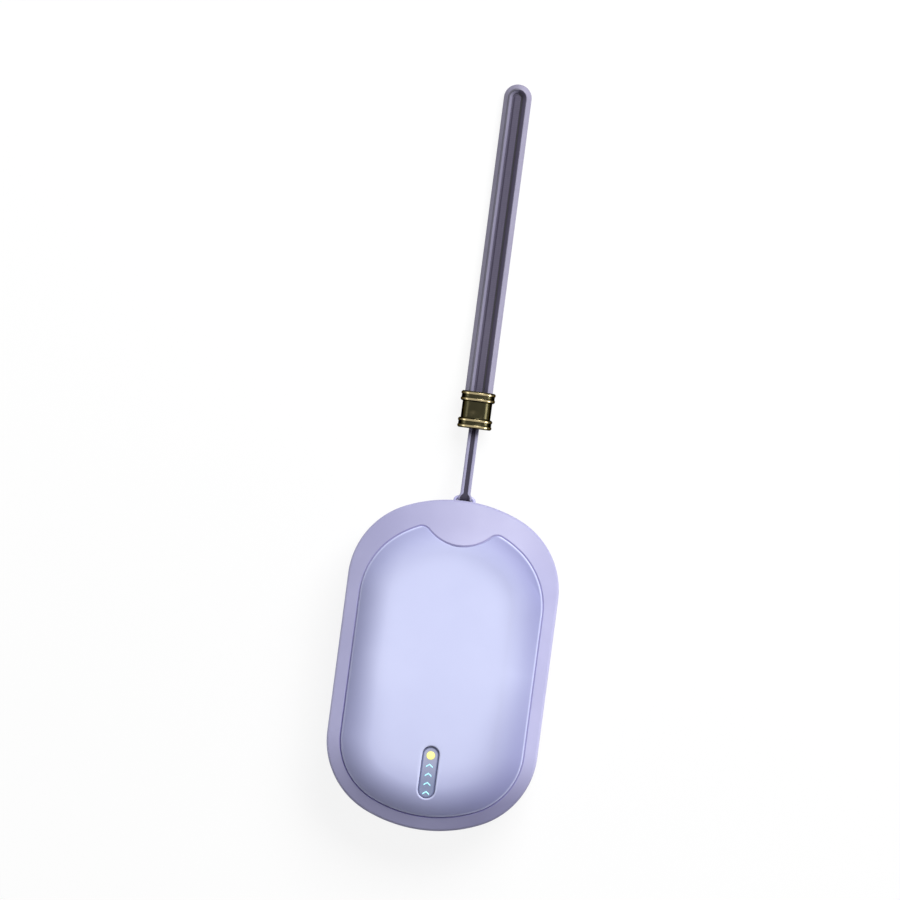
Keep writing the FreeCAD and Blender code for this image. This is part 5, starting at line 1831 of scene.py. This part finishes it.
@dataclass
class Studio:
    """White floor, soft lamps and a camera straight above, with the case leaning clockwise in the picture."""

    tilt: float = math.radians(7.55)
    aim: tuple[float, float] = (-6.57, 66.85)
    plane: float = 18.0
    view_width: float = 280.5
    lens: float = 800.0
    sensor: float = 36.0
    clip: float = 20.0
    floor_height: float = -0.0002
    floor_half: float = 3.0
    floor_rows: int = 9
    paper: Colour = (0.9, 0.9, 0.9)
    glow: float = 0.88
    world: float = 0.16
    lamps: tuple[Softbox, ...] = (
        Softbox("key_lamp", (0.36, 0.6, 0.72), 1.2, 0.8, 0.8, 20.0),
        Softbox("right_strip", (1.0, -0.1325, 0.14), 0.9, 0.24, 0.26, 2.1),
        Softbox("left_strip", (-1.0, 0.1325, 0.2), 0.9, 0.24, 0.26, 0.6))

    def build(self) -> None:
        """Set the view, the floor, the world, the lamps and the camera."""
        scene = bpy.context.scene
        scene.view_settings.view_transform = "Standard"
        self.make_floor()
        self.make_world(scene)
        for lamp in self.lamps:
            self.make_lamp(lamp)
        self.make_camera(scene)

    def make_camera(self, scene: bpy.types.Scene) -> None:
        """A camera that looks straight down, as high as its lens needs to see the wanted width at the plane.

        Args:
            scene: the scene that looks through it.
        """
        camera = bpy.data.cameras.new("camera")
        camera.lens, camera.sensor_width, camera.clip_end = self.lens, self.sensor, self.clip
        holder = bpy.data.objects.new("camera", camera)
        holder.location = metres([*self.aim, self.plane + self.view_width * self.lens / self.sensor])
        holder.rotation_euler = (0.0, 0.0, self.tilt)
        scene.collection.objects.link(holder)
        scene.camera = holder

    def seen(self, graph: Graph) -> Signal:
        """1 where the camera sees the backdrop, also in a reflection or through something clear.

        Args:
            graph: the backdrop's graph.

        Returns:
            The sum of the three kinds of ray, at most 1.
        """
        camera, glossy, clear = (graph.node("ShaderNodeLightPath", output=f"Is {kind} Ray")
                                 for kind in ("Camera", "Glossy", "Transmission"))
        return (camera + glossy + clear).math("MINIMUM", 1.0)

    def make_floor(self) -> None:
        """A pale floor that glows white for the camera and in reflections, and keeps part of the shadow."""
        x, y = np.meshgrid(*[np.linspace(-self.floor_half, self.floor_half, self.floor_rows)] * 2)
        points = np.stack([x, y, np.full_like(x, self.floor_height)], axis=2)
        numbers = np.arange(x.size).reshape(x.shape)
        cells = np.stack([numbers[:-1, :-1], numbers[:-1, 1:], numbers[1:, 1:], numbers[1:, :-1]], axis=-1)
        mesh = bpy.data.meshes.new("floor")
        mesh.from_pydata(points.reshape(-1, 3).tolist(), [], cells.reshape(-1, 4).tolist())
        floor = bpy.data.objects.new("floor", mesh)
        bpy.context.scene.collection.objects.link(floor)
        material = bpy.data.materials.new("floor_white")
        material.use_nodes = True
        graph = Graph(material.node_tree)
        seen = self.seen(graph) * self.glow
        paper = graph.node("ShaderNodeBsdfDiffuse", None, {"Color": self.paper})
        light = graph.node("ShaderNodeEmission", None, {"Color": WHITE, "Strength": 1.0})
        graph.end(graph.node("ShaderNodeMixShader", None, {0: seen, 1: paper, 2: light}))
        mesh.materials.append(material)

    def make_world(self, scene: bpy.types.Scene) -> None:
        """A weak even world, which is white where it is seen past the floor.

        Args:
            scene: the scene that gets it.
        """
        world = bpy.data.worlds.new("studio")
        world.use_nodes = True
        graph = Graph(world.node_tree)
        strength = self.seen(graph) * (1.0 - self.world) + self.world
        sky = graph.node("ShaderNodeBackground", None, {"Color": WHITE, "Strength": strength})
        graph.end(sky, "ShaderNodeOutputWorld")
        scene.world = world

    def make_lamp(self, lamp: Softbox) -> None:
        """Hang a lamp that faces the middle of the case and that the camera doesn't see.

        The direction is turned with the picture: right and up are turned by the tilt.

        Args:
            lamp: the lamp to hang.
        """
        data = bpy.data.lights.new(lamp.name, "AREA")
        data.shape, data.size, data.size_y, data.energy = "RECTANGLE", lamp.width, lamp.height, lamp.power
        right, up, towards = np.array(lamp.direction) / np.linalg.norm(lamp.direction)
        cos, sin = math.cos(self.tilt), math.sin(self.tilt)
        away = np.array([right * cos - up * sin, right * sin + up * cos, towards])
        holder = bpy.data.objects.new(lamp.name, data)
        holder.location = away * lamp.distance
        holder.rotation_euler = holder.location.to_track_quat("Z", "Y").to_euler()
        holder.visible_camera = False
        bpy.context.scene.collection.objects.link(holder)


def main() -> None:
    """Build the studio and each sub-assembly in order."""
    logging.basicConfig(level=logging.INFO, format="%(name)s: %(message)s")
    for part in (Studio(), Lanyard(), Case(), KeyLights(), InnerParts()):
        part.build()
        LOG.info("%s done", type(part).__name__)


if __name__ == "__main__":
    main()
